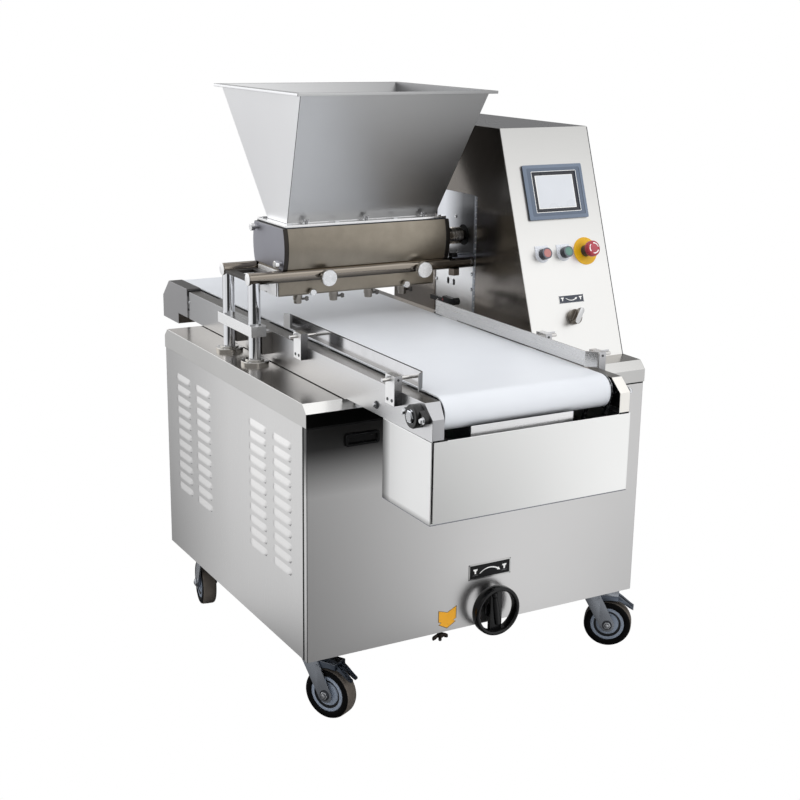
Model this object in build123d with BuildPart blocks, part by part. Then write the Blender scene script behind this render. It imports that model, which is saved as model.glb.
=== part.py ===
from build123d import *
import os
from math import acos, atan2, cos, degrees, pi, radians, sin, sqrt, tan

os.makedirs("parts", exist_ok=True)

# Driving dimensions in millimetres. X runs to the right seen from the front, Y to the rear and Z up.
# The floor is at Z zero and the origin lies on the floor under the middle of the conveyor.

# Cabinet
sheet = 2.0
cab_x = 465.0
cab_front = -386.0
cab_rear = 486.0
cab_mid = 50.0
panel_bottom = 181.0
panel_top = 760.0
deck_top = 786.5
skirt_bottom = 738.0
deck_chamfer = 20.0
panel_fold = 14.0
angle_width = 40.0
angle_leg = 4.0

# Louvres on both side panels
louvre_length = 100.0
louvre_height = 15.0
louvre_rise = 5.0
louvre_columns = (-308.0, -172.0, 172.0, 308.0)
louvre_rows = 11
louvre_first = 374.0
louvre_pitch = 30.3

# Casters
swivel_x = (-398.0, 416.5)
swivel_y = 332.0
wheel_r = 62.5
wheel_width = 40.0
trail = 50.0
axle_r = 6.0
pad_bottom = 171.0
plate_bottom = 165.0

# Depositing head: two columns, two bars, housing, nozzle block, hopper
column_x = -410.0
column_y = (14.0, 172.0)
column_r = 15.0
bar_z = 997.0
bar_left = -427.0
head_left = -324.0
head_right = 116.0
head_mid_y = 93.0
head_bottom = 1012.0
head_top = 1112.0
end_plate = 12.0
feed_pitch = 74.0
feed_z = 1060.0
feed_r = 35.5
feed_shaft_r = 12.5
nozzle_x = (-258.0, -158.0, -58.0, 42.0)
nozzle_bottom = 911.0
die_bottom = 943.0
seal_top = 1114.0
flange_top = 1120.0
rim_top = 1437.5

# Tower with sloped control panel
tower_left = 200.0
tower_right = 465.0
tower_front = -302.0
tower_top_front = -103.0
tower_top = 1344.0
tower_rear = 415.0
tower_wall = 2.5

# Conveyor
frame_left = (-368.0, -332.0)
frame_right = (95.0, 122.0)
frame_bottom = 794.0
frame_top = 867.5
frame_front = -755.0
frame_rear = 558.0
web = 3.0
roller_y = 702.0
roller_z = 837.0
belt_r = 36.0
belt_thick = 3.0
belt_x = (-329.0, 83.0)
shaft_r = 10.0
rail_bottom = 876.0
rail_top = 911.0
rail_front = -648.0
rail_rear = -16.0
front_wing = 20.0
rear_wing = 12.0
rail_rod_z = 893.0
rail_rod_r = 4.0
left_rods = (-613.0, -174.0)
right_rods = (-624.0, -421.0)

# Lift under the deck
wheel_axis_x = 27.0
wheel_axis_z = 223.0
lift_y = 50.0
lift_rod_x = (-354.5, 108.5)
lift_rod_r = 10.0
lift_screw_r = 12.0
running = 0.05

# Values that follow from the ones above
slope = atan2(tower_top_front - tower_front, tower_top - deck_top)
panel_length = (tower_top - deck_top) / cos(slope)
panel_mid_x = (tower_left + tower_right) / 2
panel_plane = Plane(
    origin=(panel_mid_x, tower_front, deck_top),
    x_dir=(1, 0, 0),
    z_dir=(0, -cos(slope), sin(slope)),
)
feed_front_y = head_mid_y - feed_pitch / 2
feed_rear_y = head_mid_y + feed_pitch / 2
bed_left = frame_left[0] + web
bed_right = frame_right[1] - web


def block(x0, x1, y0, y1, z0, z1, mode=Mode.ADD):
    with Locations(((x0 + x1) / 2, (y0 + y1) / 2, (z0 + z1) / 2)):
        Box(abs(x1 - x0), abs(y1 - y0), abs(z1 - z0), mode=mode)


def rod_x(x0, x1, y, z, radius, mode=Mode.ADD):
    with Locations(Location(((x0 + x1) / 2, y, z), (0, 90, 0))):
        Cylinder(radius, x1 - x0, mode=mode)


def rod_y(y0, y1, x, z, radius, mode=Mode.ADD):
    with Locations(Location((x, (y0 + y1) / 2, z), (90, 0, 0))):
        Cylinder(radius, y1 - y0, mode=mode)


def rod_z(z0, z1, x, y, radius, mode=Mode.ADD):
    with Locations((x, y, (z0 + z1) / 2)):
        Cylinder(radius, z1 - z0, mode=mode)


def side_profile(points, x0, x1, mode=Mode.ADD):
    # A closed outline seen from the side, in Y and Z, carried across from x0 to x1
    with BuildSketch(Plane.YZ.offset(x0)) as outline:
        with BuildLine():
            Polyline(*points, close=True)
        make_face()
    extrude(outline.sketch, amount=x1 - x0, dir=(1, 0, 0), mode=mode)


def plan_profile(points, z0, z1, mode=Mode.ADD):
    # A closed outline seen from above, in X and Y, carried up from z0 to z1
    with BuildSketch(Plane.XY.offset(z0)) as outline:
        with BuildLine():
            Polyline(*points, close=True)
        make_face()
    extrude(outline.sketch, amount=z1 - z0, dir=(0, 0, 1), mode=mode)


def cut_bars():
    # Room for the two head bars, so that what rests on them fits round them
    for y in column_y:
        rod_x(bar_left - 20, tower_left, y, bar_z, column_r, Mode.SUBTRACT)


def save(builder, name):
    builder.part.label = name
    export_step(builder.part, "parts/" + name + ".step")


# Welded frame: lengths of angle steel, a flat bar for the lift gearbox and pads for the casters
frame_x = cab_x - sheet
inner_x = frame_x - angle_leg
shelf_x = frame_x - angle_width
low_front = cab_front + sheet
low_rear = cab_rear - sheet
high_front = low_front + 24
high_rear = low_rear - 24
low_top = panel_bottom + angle_width
high_top = deck_top - sheet
high_bottom = high_top - angle_width
weld = 0.2
with BuildPart() as base_frame:
    for y, into in ((low_front, 1), (low_rear, -1)):
        block(-frame_x, frame_x, y, y + into * angle_leg, panel_bottom, low_top)
        block(-frame_x, frame_x, y, y + into * angle_width, panel_bottom, panel_bottom + angle_leg)
    for y, into in ((high_front, 1), (high_rear, -1)):
        block(-frame_x, frame_x, y, y + into * angle_leg, high_bottom, high_top)
        block(-frame_x, frame_x, y, y + into * angle_width, high_top - angle_leg, high_top)
    for side in (-1, 1):
        out = side * frame_x
        leg = side * inner_x
        shelf = side * shelf_x
        low_y = (low_front + angle_width + weld, low_rear - angle_width - weld)
        high_y = (high_front + angle_width + weld, high_rear - angle_width - weld)
        block(out, leg, low_y[0], low_y[1], panel_bottom, low_top)
        block(out, shelf, low_y[0], low_y[1], panel_bottom, panel_bottom + angle_leg)
        block(out, leg, high_y[0], high_y[1], high_bottom, high_top)
        block(out, shelf, high_y[0], high_y[1], high_top - angle_leg, high_top)
        for y, into in ((low_front, 1), (low_rear, -1)):
            block(out, leg, y, y + into * angle_width, low_top + weld, high_bottom - weld)
            block(out, shelf, y, y + into * angle_leg, low_top + weld, high_bottom - weld)
    for pad_x in swivel_x:
        for pad_y in (cab_mid - swivel_y, cab_mid + swivel_y):
            block(pad_x - 46, pad_x + 46, pad_y - 36, pad_y + 36, pad_bottom, panel_bottom - weld)
    block(-shelf_x + weld, shelf_x - weld, lift_y - 60, lift_y + 60, panel_bottom, panel_bottom + 8)
    rod_z(panel_bottom - 1, panel_bottom + 9, wheel_axis_x, lift_y, 20, Mode.SUBTRACT)
    rod_y(low_front - 1, low_front + 6, wheel_axis_x, wheel_axis_z, 10, Mode.SUBTRACT)
save(base_frame, "base_frame")

# Lid of the cabinet: one folded sheet with skirts, chamfered at the front and the rear
lid_x = cab_x + sheet
lid_front = cab_front - sheet
lid_rear = cab_rear + sheet
fold = sheet * (sqrt(2) - 1)
inside_top = deck_top - sheet
inside_chamfer = deck_chamfer - sheet + fold
with BuildPart() as deck:
    side_profile([
        (lid_front, skirt_bottom), (lid_front, deck_top - deck_chamfer),
        (lid_front + deck_chamfer, deck_top), (lid_rear - deck_chamfer, deck_top),
        (lid_rear, deck_top - deck_chamfer), (lid_rear, skirt_bottom),
    ], -lid_x, lid_x)
    side_profile([
        (cab_front, skirt_bottom - 5), (cab_front, inside_top - inside_chamfer),
        (cab_front + inside_chamfer, inside_top), (cab_rear - inside_chamfer, inside_top),
        (cab_rear, inside_top - inside_chamfer), (cab_rear, skirt_bottom - 5),
    ], -cab_x, cab_x, Mode.SUBTRACT)
    for x in lift_rod_x:
        rod_z(inside_top - 1, deck_top + 1, x, lift_y, lift_rod_r + 1, Mode.SUBTRACT)
save(deck, "deck")

# Two side panels with four columns of pressed louvres each, open at the lower edge of each louvre
louvre_spots = []
for column in louvre_columns:
    for row in range(louvre_rows):
        louvre_spots.append((column, louvre_first + row * louvre_pitch))
with BuildPart() as side_panels:
    for side in (-1, 1):
        face = Plane(origin=(side * cab_x, cab_mid, 0), x_dir=(0, side, 0), z_dir=(side, 0, 0))
        block(min(side * cab_x, side * frame_x), max(side * cab_x, side * frame_x),
              cab_front + panel_fold + 2, low_rear, panel_bottom, panel_top)
        with BuildSketch(face):
            with Locations(*louvre_spots):
                SlotOverall(louvre_length, louvre_height)
        extrude(amount=louvre_rise, taper=20)
        with BuildSketch(face.offset(-sheet)):
            with Locations(*louvre_spots):
                SlotOverall(louvre_length - 5, louvre_height - 5)
        extrude(amount=louvre_rise + sheet - 1.5, mode=Mode.SUBTRACT)
        with BuildSketch(face):
            with Locations(*[(u, v - louvre_height / 2) for u, v in louvre_spots]):
                Rectangle(louvre_length - 16, 8)
        extrude(amount=louvre_rise + 1, mode=Mode.SUBTRACT)
save(side_panels, "side_panels")

# Front panel, folded back at both sides, with a clearance hole for the handwheel shaft
with BuildPart() as front_panel:
    block(-cab_x, cab_x, cab_front, cab_front + panel_fold, panel_bottom, panel_top)
    block(-frame_x, frame_x, low_front, cab_front + panel_fold + 1, panel_bottom - 1, panel_top + 1,
          Mode.SUBTRACT)
    fillet(front_panel.edges().filter_by(Axis.Z).group_by(Axis.Y)[0], 1.5)
    rod_y(cab_front - 1, low_front + 1, wheel_axis_x, wheel_axis_z, 9, Mode.SUBTRACT)
save(front_panel, "front_panel")

# Rear panel
with BuildPart() as rear_panel:
    block(-cab_x, cab_x, low_rear, cab_rear, panel_bottom, panel_top)
save(rear_panel, "rear_panel")

# Two flush pulls on the front panel
pull_left = (-371.0, 285.0)
pull_bottom = 684.0
with BuildPart() as panel_pulls:
    for x in pull_left:
        block(x, x + 86, cab_front - 6, cab_front, pull_bottom, pull_bottom + 28)
    for edge_set in panel_pulls.edges().filter_by(Axis.Y).group_by(Axis.X):
        fillet(edge_set, 6)
    for x in pull_left:
        block(x + 7, x + 79, cab_front - 6, cab_front - 1.5, pull_bottom + 6, pull_bottom + 22,
              Mode.SUBTRACT)
save(panel_pulls, "panel_pulls")

# Earth stud with its wing nut under the front rail
stud_x = -98.0
stud_y = -364.0
with BuildPart() as earth_stud:
    rod_z(148, panel_bottom, stud_x, stud_y, 4)
    rod_z(158, 169, stud_x, stud_y, 8)
    rod_z(176, panel_bottom, stud_x, stud_y, 7)
    for side in (-1, 1):
        with BuildSketch(Plane.XZ.offset(-stud_y - 1.5)):
            with BuildLine():
                Polyline((stud_x + side * 5, 159), (stud_x + side * 22, 152),
                         (stud_x + side * 22, 163), (stud_x + side * 5, 169), close=True)
            make_face()
        extrude(amount=3)
save(earth_stud, "earth_stud")

# Two guide columns standing on the deck, saddled to the bars at the top
with BuildPart() as guide_columns:
    for y in column_y:
        rod_z(deck_top, bar_z - 9, column_x, y, column_r)
    cut_bars()
save(guide_columns, "guide_columns")

# Round flanges of the columns on the deck, and the guide bushes of the lift rods below it
with BuildPart() as deck_flanges:
    for y in column_y:
        rod_z(deck_top, deck_top + 15, column_x, y, 34)
    chamfer(deck_flanges.edges().filter_by(GeomType.CIRCLE).group_by(Axis.Z)[-1], 2)
    for y in column_y:
        rod_z(deck_top - 1, deck_top + 16, column_x, y, column_r + running, Mode.SUBTRACT)
    for x in lift_rod_x:
        rod_z(inside_top - 30, inside_top, x, lift_y, 25)
        rod_z(inside_top - 31, inside_top + 1, x, lift_y, lift_rod_r + running, Mode.SUBTRACT)
save(deck_flanges, "deck_flanges")

# Two round bars that carry the head, from the columns to the drive plate
plate_face = tower_left + tower_wall
with BuildPart() as head_bars:
    for y in column_y:
        rod_x(bar_left, plate_face, y, bar_z, column_r)
    chamfer(head_bars.edges().filter_by(GeomType.CIRCLE).group_by(Axis.X)[0], 2)
save(head_bars, "head_bars")

# Slotted tie plate between the bars
with BuildPart() as bar_tie_plate:
    block(bar_left + 2, head_left - end_plate - 2, column_y[0] + 6, column_y[1] - 6, 990, 998)
    block(bar_left + 24, head_left - end_plate - 24, 52, 134, 989, 999, Mode.SUBTRACT)
    cut_bars()
save(bar_tie_plate, "bar_tie_plate")


def head_outline(x0, x1):
    # Flat top and bottom, slightly bulged front and rear
    with BuildSketch(Plane.YZ.offset(x0)) as outline:
        with BuildLine():
            Line((9, head_top), (177, head_top))
            ThreePointArc((177, head_top), (186, 1062), (177, head_bottom))
            Line((177, head_bottom), (9, head_bottom))
            ThreePointArc((9, head_bottom), (0, 1062), (9, head_top))
        make_face()
    extrude(outline.sketch, amount=x1 - x0, dir=(1, 0, 0))


# Housing round the two feed rollers, open to the hopper above and to the nozzle block below
gear_room = 92.0
with BuildPart() as head_housing:
    head_outline(head_left, head_right)
    for y in (feed_front_y, feed_rear_y):
        rod_x(head_left - 1, head_right + 1, y, feed_z, feed_r + 0.5, Mode.SUBTRACT)
        rod_x(gear_room, head_right + 1, y, feed_z, 42, Mode.SUBTRACT)
    block(-310, 88, 38, 148, feed_z, head_top + 1, Mode.SUBTRACT)
    block(-300, 66, head_mid_y - 10, head_mid_y + 10, head_bottom - 1, feed_z, Mode.SUBTRACT)
save(head_housing, "head_housing")

# End plates of the housing with the roller bores
with BuildPart() as head_end_plates:
    head_outline(head_left - end_plate, head_left)
    head_outline(head_right, head_right + end_plate)
    for y in (feed_front_y, feed_rear_y):
        rod_x(head_left - 8, head_left + 1, y, feed_z, feed_shaft_r + running, Mode.SUBTRACT)
    rod_x(head_right - 1, head_right + 8, feed_rear_y, feed_z, feed_shaft_r + running, Mode.SUBTRACT)
    rod_x(head_right - 1, head_right + end_plate + 1, feed_front_y, feed_z, feed_shaft_r + running,
          Mode.SUBTRACT)
save(head_end_plates, "head_end_plates")


def gear_outline(teeth, pitch_r, slack, y, z, phase):
    # Points of an involute spur gear with 20 degree flanks, in Y and Z
    module = 2 * pitch_r / teeth
    base_r = pitch_r * cos(radians(20))
    tip_r = pitch_r + 0.92 * module
    root_r = pitch_r - 1.25 * module
    involute = tan(radians(20)) - radians(20)
    half = (pi * module / 2 - slack) / 2 / pitch_r
    flank = []
    for step in range(5):
        r = base_r + (tip_r - base_r) * step / 4
        press = acos(base_r / r)
        flank.append((r, half + involute - (tan(press) - press)))
    points = []
    for tooth in range(teeth):
        centre = phase + tooth * 2 * pi / teeth
        rise = [(root_r, flank[0][1])] + flank
        for r, a in rise:
            points.append((y + r * cos(centre - a), z + r * sin(centre - a)))
        for r, a in reversed(rise):
            points.append((y + r * cos(centre + a), z + r * sin(centre + a)))
    return points


def feed_roller(y, shaft_end, phase):
    # Grooved roller, its shaft and the spur gear at its right end
    rod_x(head_left + 6, gear_room - 4, y, feed_z, feed_r)
    with BuildSketch(Plane.YZ.offset(head_left + 6)) as grooves:
        with Locations(Location((y, feed_z))):
            with PolarLocations(feed_r + 1, 12):
                Circle(4.5)
    extrude(grooves.sketch, amount=gear_room - 10 - head_left, dir=(1, 0, 0), mode=Mode.SUBTRACT)
    rod_x(head_left - 7.5, shaft_end, y, feed_z, feed_shaft_r)
    side_profile(gear_outline(18, feed_pitch / 2, 0.5, y, feed_z, phase), gear_room + 4, head_right - 2)


# Front feed roller, driven: its shaft runs on through a coupling sleeve into the drive plate
with BuildPart() as feed_roller_front:
    feed_roller(feed_front_y, 240, 0)
    rod_x(head_right + end_plate + 8, 190, feed_front_y, feed_z, 22)
    rod_x(head_right + end_plate + 30, 172, feed_front_y, feed_z, 26, Mode.SUBTRACT)
    rod_x(head_right + end_plate + 29, 173, feed_front_y, feed_z, 18)
save(feed_roller_front, "feed_roller_front")

# Rear feed roller, turned by the gear
with BuildPart() as feed_roller_rear:
    feed_roller(feed_rear_y, head_right + 7.5, pi / 18)
save(feed_roller_rear, "feed_roller_rear")

# Nozzle block under the housing: one channel along it and a bore for each nozzle
die_left = -336.0
die_right = 100.0
with BuildPart() as nozzle_block:
    block(die_left, die_right, 33, 153, die_bottom, head_bottom)
    chamfer(nozzle_block.edges().filter_by(Axis.X).group_by(Axis.Z)[0], 4)
    block(-300, 66, head_mid_y - 10, head_mid_y + 10, die_bottom + 22, head_bottom + 1, Mode.SUBTRACT)
    for x in nozzle_x:
        rod_z(die_bottom - 1, die_bottom + 30, x, head_mid_y, 9, Mode.SUBTRACT)
save(nozzle_block, "nozzle_block")

# Four nozzles: a round body against the block and a tapered tip
nozzle_r = 14.0
with BuildPart() as nozzles:
    for x in nozzle_x:
        rod_z(nozzle_bottom + 6, die_bottom, x, head_mid_y, nozzle_r)
        with Locations((x, head_mid_y, nozzle_bottom + 3)):
            Cone(nozzle_r - 4, nozzle_r, 6)
    for x in nozzle_x:
        rod_z(nozzle_bottom - 1, die_bottom + 1, x, head_mid_y, 7.5, Mode.SUBTRACT)
save(nozzles, "nozzles")

# Hand screws of the head: clamp knobs on the front bar, thumb screws and nozzle wing screws
knob_x = (-225.0, 44.0)
thumb_x = (-250.0, 14.0)
with BuildPart() as hand_screws:
    for x in knob_x:
        rod_y(-22, -7, x, 991, 20.3)
        rod_y(-7, 4, x, 991, 9)
    cut_bars()
    for x in thumb_x:
        rod_y(17, 28, x, 950, 8.5)
        rod_y(28, 33, x, 950, 4)
    for y, z in ((23, 1026), (163, 1098)):
        rod_x(head_left - end_plate - 17, head_left - end_plate - 6, y, z, 9)
        rod_x(head_left - end_plate - 6, head_left - end_plate, y, z, 5)
    for x in nozzle_x:
        rod_x(x + nozzle_r, x + nozzle_r + 7, head_mid_y, die_bottom - 22, 3)
        block(x + nozzle_r + 6, x + nozzle_r + 17, head_mid_y - 1.5, head_mid_y + 1.5,
              die_bottom - 28, die_bottom - 16)
save(hand_screws, "hand_screws")

# Flat seal between housing and hopper
flange_x = (-328.0, 120.0)
flange_y = (9.0, 177.0)
neck_x = (-312.0, 104.0)
neck_y = (36.0, 150.0)
with BuildPart() as hopper_seal:
    block(flange_x[0], flange_x[1], flange_y[0], flange_y[1], head_top, seal_top)
    block(neck_x[0] + sheet, neck_x[1] - sheet, neck_y[0] + sheet, neck_y[1] - sheet,
          head_top - 1, seal_top + 1, Mode.SUBTRACT)
save(hopper_seal, "hopper_seal")

# Four-sided sheet hopper with a bolted flange below and a folded lip round the rim
lip = 14.0
rim_x = (-371.0 + lip, 160.0 - lip)
rim_y = (-152.0 + lip, 340.0 - lip)
lip_bottom = rim_top - 7


def funnel(grow, z_low, z_high, mode):
    # Loft between the neck and the rim, moved in or out by grow
    low = Plane.XY.offset(z_low)
    high = Plane.XY.offset(z_high)
    with BuildSketch(low) as neck:
        with Locations((sum(neck_x) / 2, sum(neck_y) / 2)):
            Rectangle(neck_x[1] - neck_x[0] + grow, neck_y[1] - neck_y[0] + grow)
    with BuildSketch(high) as rim:
        with Locations((sum(rim_x) / 2, sum(rim_y) / 2)):
            Rectangle(rim_x[1] - rim_x[0] + grow, rim_y[1] - rim_y[0] + grow)
    loft([neck.sketch.face(), rim.sketch.face()], mode=mode)


with BuildPart() as hopper:
    funnel(0, flange_top, rim_top, Mode.ADD)
    block(flange_x[0], flange_x[1], flange_y[0], flange_y[1], seal_top, flange_top)
    block(rim_x[0] - lip, rim_x[1] + lip, rim_y[0] - lip, rim_y[1] + lip, lip_bottom, rim_top)
    block(rim_x[0] - lip + 2, rim_x[1] + lip - 2, rim_y[0] - lip + 2, rim_y[1] + lip - 2,
          lip_bottom - 1, rim_top - 2, Mode.SUBTRACT)
    funnel(0, flange_top, rim_top, Mode.ADD)
    funnel(-2 * sheet, flange_top, rim_top, Mode.SUBTRACT)
    block(neck_x[0] + sheet, neck_x[1] - sheet, neck_y[0] + sheet, neck_y[1] - sheet,
          seal_top - 1, flange_top + 0.01, Mode.SUBTRACT)
save(hopper, "hopper")

# Wing nuts that hold the hopper flange down
with BuildPart() as hopper_wing_nuts:
    for x in (-268.0, -104.0, 60.0):
        for y in (20.5, 165.5):
            rod_z(flange_top, flange_top + 9, x, y, 6)
            rod_z(flange_top, flange_top + 14, x, y, 3)
            for side in (-1, 1):
                with BuildSketch(Plane.XZ.offset(-y - 1)):
                    with BuildLine():
                        Polyline((x + side * 4, flange_top + 2), (x + side * 12.5, flange_top + 11),
                                 (x + side * 8.5, flange_top + 15), (x + side * 4, flange_top + 9),
                                 close=True)
                    make_face()
                extrude(amount=2)
save(hopper_wing_nuts, "hopper_wing_nuts")


def slope_y(z, depth):
    # Y of the sloped panel plane at height z, moved into the tower by depth
    return tower_front + (z - deck_top) * tan(slope) + depth / cos(slope)


# Tower casing: side walls, top and rear, open in front and below, with a window on the left
with BuildPart() as tower_casing:
    side_profile([
        (slope_y(deck_top, tower_wall), deck_top), (slope_y(tower_top, tower_wall), tower_top),
        (tower_rear, tower_top), (tower_rear, deck_top),
    ], tower_left, tower_right)
    side_profile([
        (slope_y(deck_top - 9, -30), deck_top - 9),
        (slope_y(tower_top - tower_wall, -30), tower_top - tower_wall),
        (tower_rear - tower_wall, tower_top - tower_wall), (tower_rear - tower_wall, deck_top - 9),
    ], tower_left + tower_wall, tower_right - tower_wall, Mode.SUBTRACT)
    block(tower_left - 1, tower_left + tower_wall, -3, 191, deck_top - 1, 1168, Mode.SUBTRACT)
save(tower_casing, "tower_casing")

# Places on the sloped panel: across from its middle, and up the slope
screen_at = (333.0 - panel_mid_x, 427.0)
red_at = (266.5 - panel_mid_x, 272.0)
green_at = (331.0 - panel_mid_x, 272.0)
stop_at = (398.0 - panel_mid_x, 273.0)
grip_at = (331.0 - panel_mid_x, 110.0)
button_hole = 11.0
grip_shaft = 6.0

# Sloped front panel of the tower
with BuildPart() as tower_front_panel:
    with BuildSketch(panel_plane):
        with Locations((0, (panel_length + 1.5) / 2)):
            Rectangle(tower_right - tower_left, panel_length - 1.5)
        with Locations(screen_at):
            Rectangle(150, 110, mode=Mode.SUBTRACT)
        with Locations(red_at, green_at, stop_at):
            Circle(button_hole + running, mode=Mode.SUBTRACT)
        with Locations(grip_at):
            Circle(grip_shaft + running, mode=Mode.SUBTRACT)
    extrude(amount=-tower_wall)
save(tower_front_panel, "tower_front_panel")

# Polished plate behind the window: it carries the bar ends and lets the drive shaft through
with BuildPart() as drive_plate:
    block(plate_face, plate_face + 8, -13, 201, deck_top, 1178)
    rod_x(plate_face - 1, plate_face + 9, feed_front_y, feed_z, 27, Mode.SUBTRACT)
    for y in (97.0, 126.0):
        with BuildSketch(Plane.YZ.offset(plate_face)):
            with Locations((y, 928)):
                SlotOverall(18, 11, rotation=90)
        extrude(amount=8, mode=Mode.SUBTRACT)
save(drive_plate, "drive_plate")

# Touch screen: bezel on the panel, body behind it and a pane set into the bezel
with BuildPart() as touch_screen:
    with BuildSketch(panel_plane):
        with Locations(screen_at):
            RectangleRounded(179, 138, 8)
    extrude(amount=8)
    with BuildSketch(panel_plane):
        with Locations(screen_at):
            Rectangle(149, 109)
    extrude(amount=-42)
    with BuildSketch(panel_plane.offset(5)):
        with Locations(screen_at):
            Rectangle(131, 99)
    extrude(amount=4, mode=Mode.SUBTRACT)
    with BuildSketch(panel_plane.offset(5)):
        with Locations(screen_at):
            Rectangle(116.4, 85.5)
    extrude(amount=1)
save(touch_screen, "touch_screen")

# Fixed parts of the three buttons: legend plates, collars, contact bodies and the yellow disc
collar_bore = 9.0
with BuildPart() as button_bases:
    with BuildSketch(panel_plane):
        with Locations(red_at, green_at):
            Circle(20)
            Rectangle(40, 22, align=(Align.CENTER, Align.MIN))
        with Locations(stop_at):
            Circle(35)
    extrude(amount=1.5)
    with BuildSketch(panel_plane.offset(1)):
        with Locations(red_at, green_at):
            Circle(18.5)
    extrude(amount=4)
    with BuildSketch(panel_plane.offset(1)):
        with Locations(red_at, green_at):
            Circle(14)
    extrude(amount=23)
    with BuildSketch(panel_plane.offset(1)):
        with Locations(stop_at):
            Circle(14.5)
    extrude(amount=17.5)
    with BuildSketch(panel_plane.offset(1)):
        with Locations(red_at, green_at, stop_at):
            Circle(button_hole)
    extrude(amount=-45)
    with BuildSketch(panel_plane.offset(13.5)):
        with Locations(red_at, green_at):
            Circle(12.4)
    extrude(amount=12, mode=Mode.SUBTRACT)
    with BuildSketch(panel_plane.offset(-32)):
        with Locations(red_at, green_at, stop_at):
            Circle(collar_bore + running)
    extrude(amount=60, mode=Mode.SUBTRACT)
save(button_bases, "button_bases")


def push_button(spot):
    # Stem that slides in the collar and a lens cap with a rounded edge
    with BuildSketch(panel_plane.offset(-26)) as stem:
        with Locations(spot):
            Circle(collar_bore)
    extrude(stem.sketch, amount=46, dir=panel_plane.z_dir)
    with BuildSketch(panel_plane.offset(18)) as lens:
        with Locations(spot):
            Circle(12)
    extrude(lens.sketch, amount=6.5, dir=panel_plane.z_dir)


with BuildPart() as stop_button:
    push_button(red_at)
    fillet(stop_button.faces().sort_by(Axis.Y)[0].edges(), 1)
save(stop_button, "stop_button")

with BuildPart() as start_button:
    push_button(green_at)
    fillet(start_button.faces().sort_by(Axis.Y)[0].edges(), 1)
save(start_button, "start_button")

# Mushroom of the emergency stop
with BuildPart() as estop_button:
    with BuildSketch(panel_plane.offset(-24)):
        with Locations(stop_at):
            Circle(collar_bore)
    extrude(amount=50)
    with BuildSketch(panel_plane.offset(25)):
        with Locations(stop_at):
            Circle(20)
    extrude(amount=14)
    fillet(estop_button.faces().sort_by(Axis.Y)[0].edges(), 6)
save(estop_button, "estop_button")

# Metal grip knob of the adjuster on its shaft
with BuildPart() as adjust_knob:
    with BuildSketch(panel_plane.offset(-22)):
        with Locations(grip_at):
            Circle(grip_shaft)
    extrude(amount=24)
    with BuildSketch(panel_plane.offset(0.5)):
        with Locations(grip_at):
            Circle(19)
    extrude(amount=11.5)
    with BuildSketch(panel_plane.offset(12)):
        with Locations(grip_at):
            SlotOverall(46, 13, rotation=54)
    extrude(amount=16)
    fillet(adjust_knob.faces().sort_by(Axis.Y)[0].edges(), 3)
save(adjust_knob, "adjust_knob")

# Gearmotor of the feed rollers, flanged to the back of the drive plate
with BuildPart() as feed_gearmotor:
    rod_x(plate_face + 8, 226, feed_front_y, feed_z, 40)
    block(226, 306, feed_front_y - 46, feed_front_y + 46, feed_z - 46, feed_z + 46)
    rod_x(306, 430, feed_front_y, feed_z, 54)
    rod_x(plate_face + 7, 227, feed_front_y, feed_z, 15, Mode.SUBTRACT)
    rod_x(220, 242, feed_front_y, feed_z, feed_shaft_r + running, Mode.SUBTRACT)
save(feed_gearmotor, "feed_gearmotor")

# Lift gearbox on the flat bar: the handwheel shaft enters in front, the lift screw goes through
with BuildPart() as lift_gearbox:
    block(wheel_axis_x - 45, wheel_axis_x + 45, lift_y - 40, lift_y + 40, panel_bottom + 8, 257)
    fillet(lift_gearbox.edges().filter_by(Axis.Z), 8)
    rod_y(lift_y - 52, lift_y - 40, wheel_axis_x, wheel_axis_z, 20)
    rod_z(257, 267, wheel_axis_x, lift_y, 22)
    rod_z(panel_bottom, 270, wheel_axis_x, lift_y, lift_screw_r + running, Mode.SUBTRACT)
    rod_y(lift_y - 53, lift_y - 28, wheel_axis_x, wheel_axis_z, 8 + running, Mode.SUBTRACT)
save(lift_gearbox, "lift_gearbox")

# Handwheel: round rim, one deep bar from top to bottom, conical hub and its shaft
rim_plane_y = cab_front - 30
rim_r = 62.5
rim_width = 11.5
rim_depth = 26.0
with BuildPart() as handwheel:
    with BuildSketch(Plane.XZ.offset(-rim_plane_y - rim_depth / 2)):
        with Locations((wheel_axis_x, wheel_axis_z)):
            Circle(rim_r)
            Circle(rim_r - rim_width, mode=Mode.SUBTRACT)
    extrude(amount=rim_depth)
    fillet(handwheel.edges().filter_by(GeomType.CIRCLE), 5)
    with BuildSketch(Plane.XZ.offset(-rim_plane_y - 11)):
        with Locations((wheel_axis_x, wheel_axis_z)):
            Rectangle(32, 2 * rim_r - rim_width)
    extrude(amount=14)
    with Locations(Location((wheel_axis_x, rim_plane_y + 17, wheel_axis_z), (90, 0, 0))):
        Cone(14, 24, 14)
    rod_y(cab_front - 12, lift_y - 28.5, wheel_axis_x, wheel_axis_z, 8)
save(handwheel, "handwheel")

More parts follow.
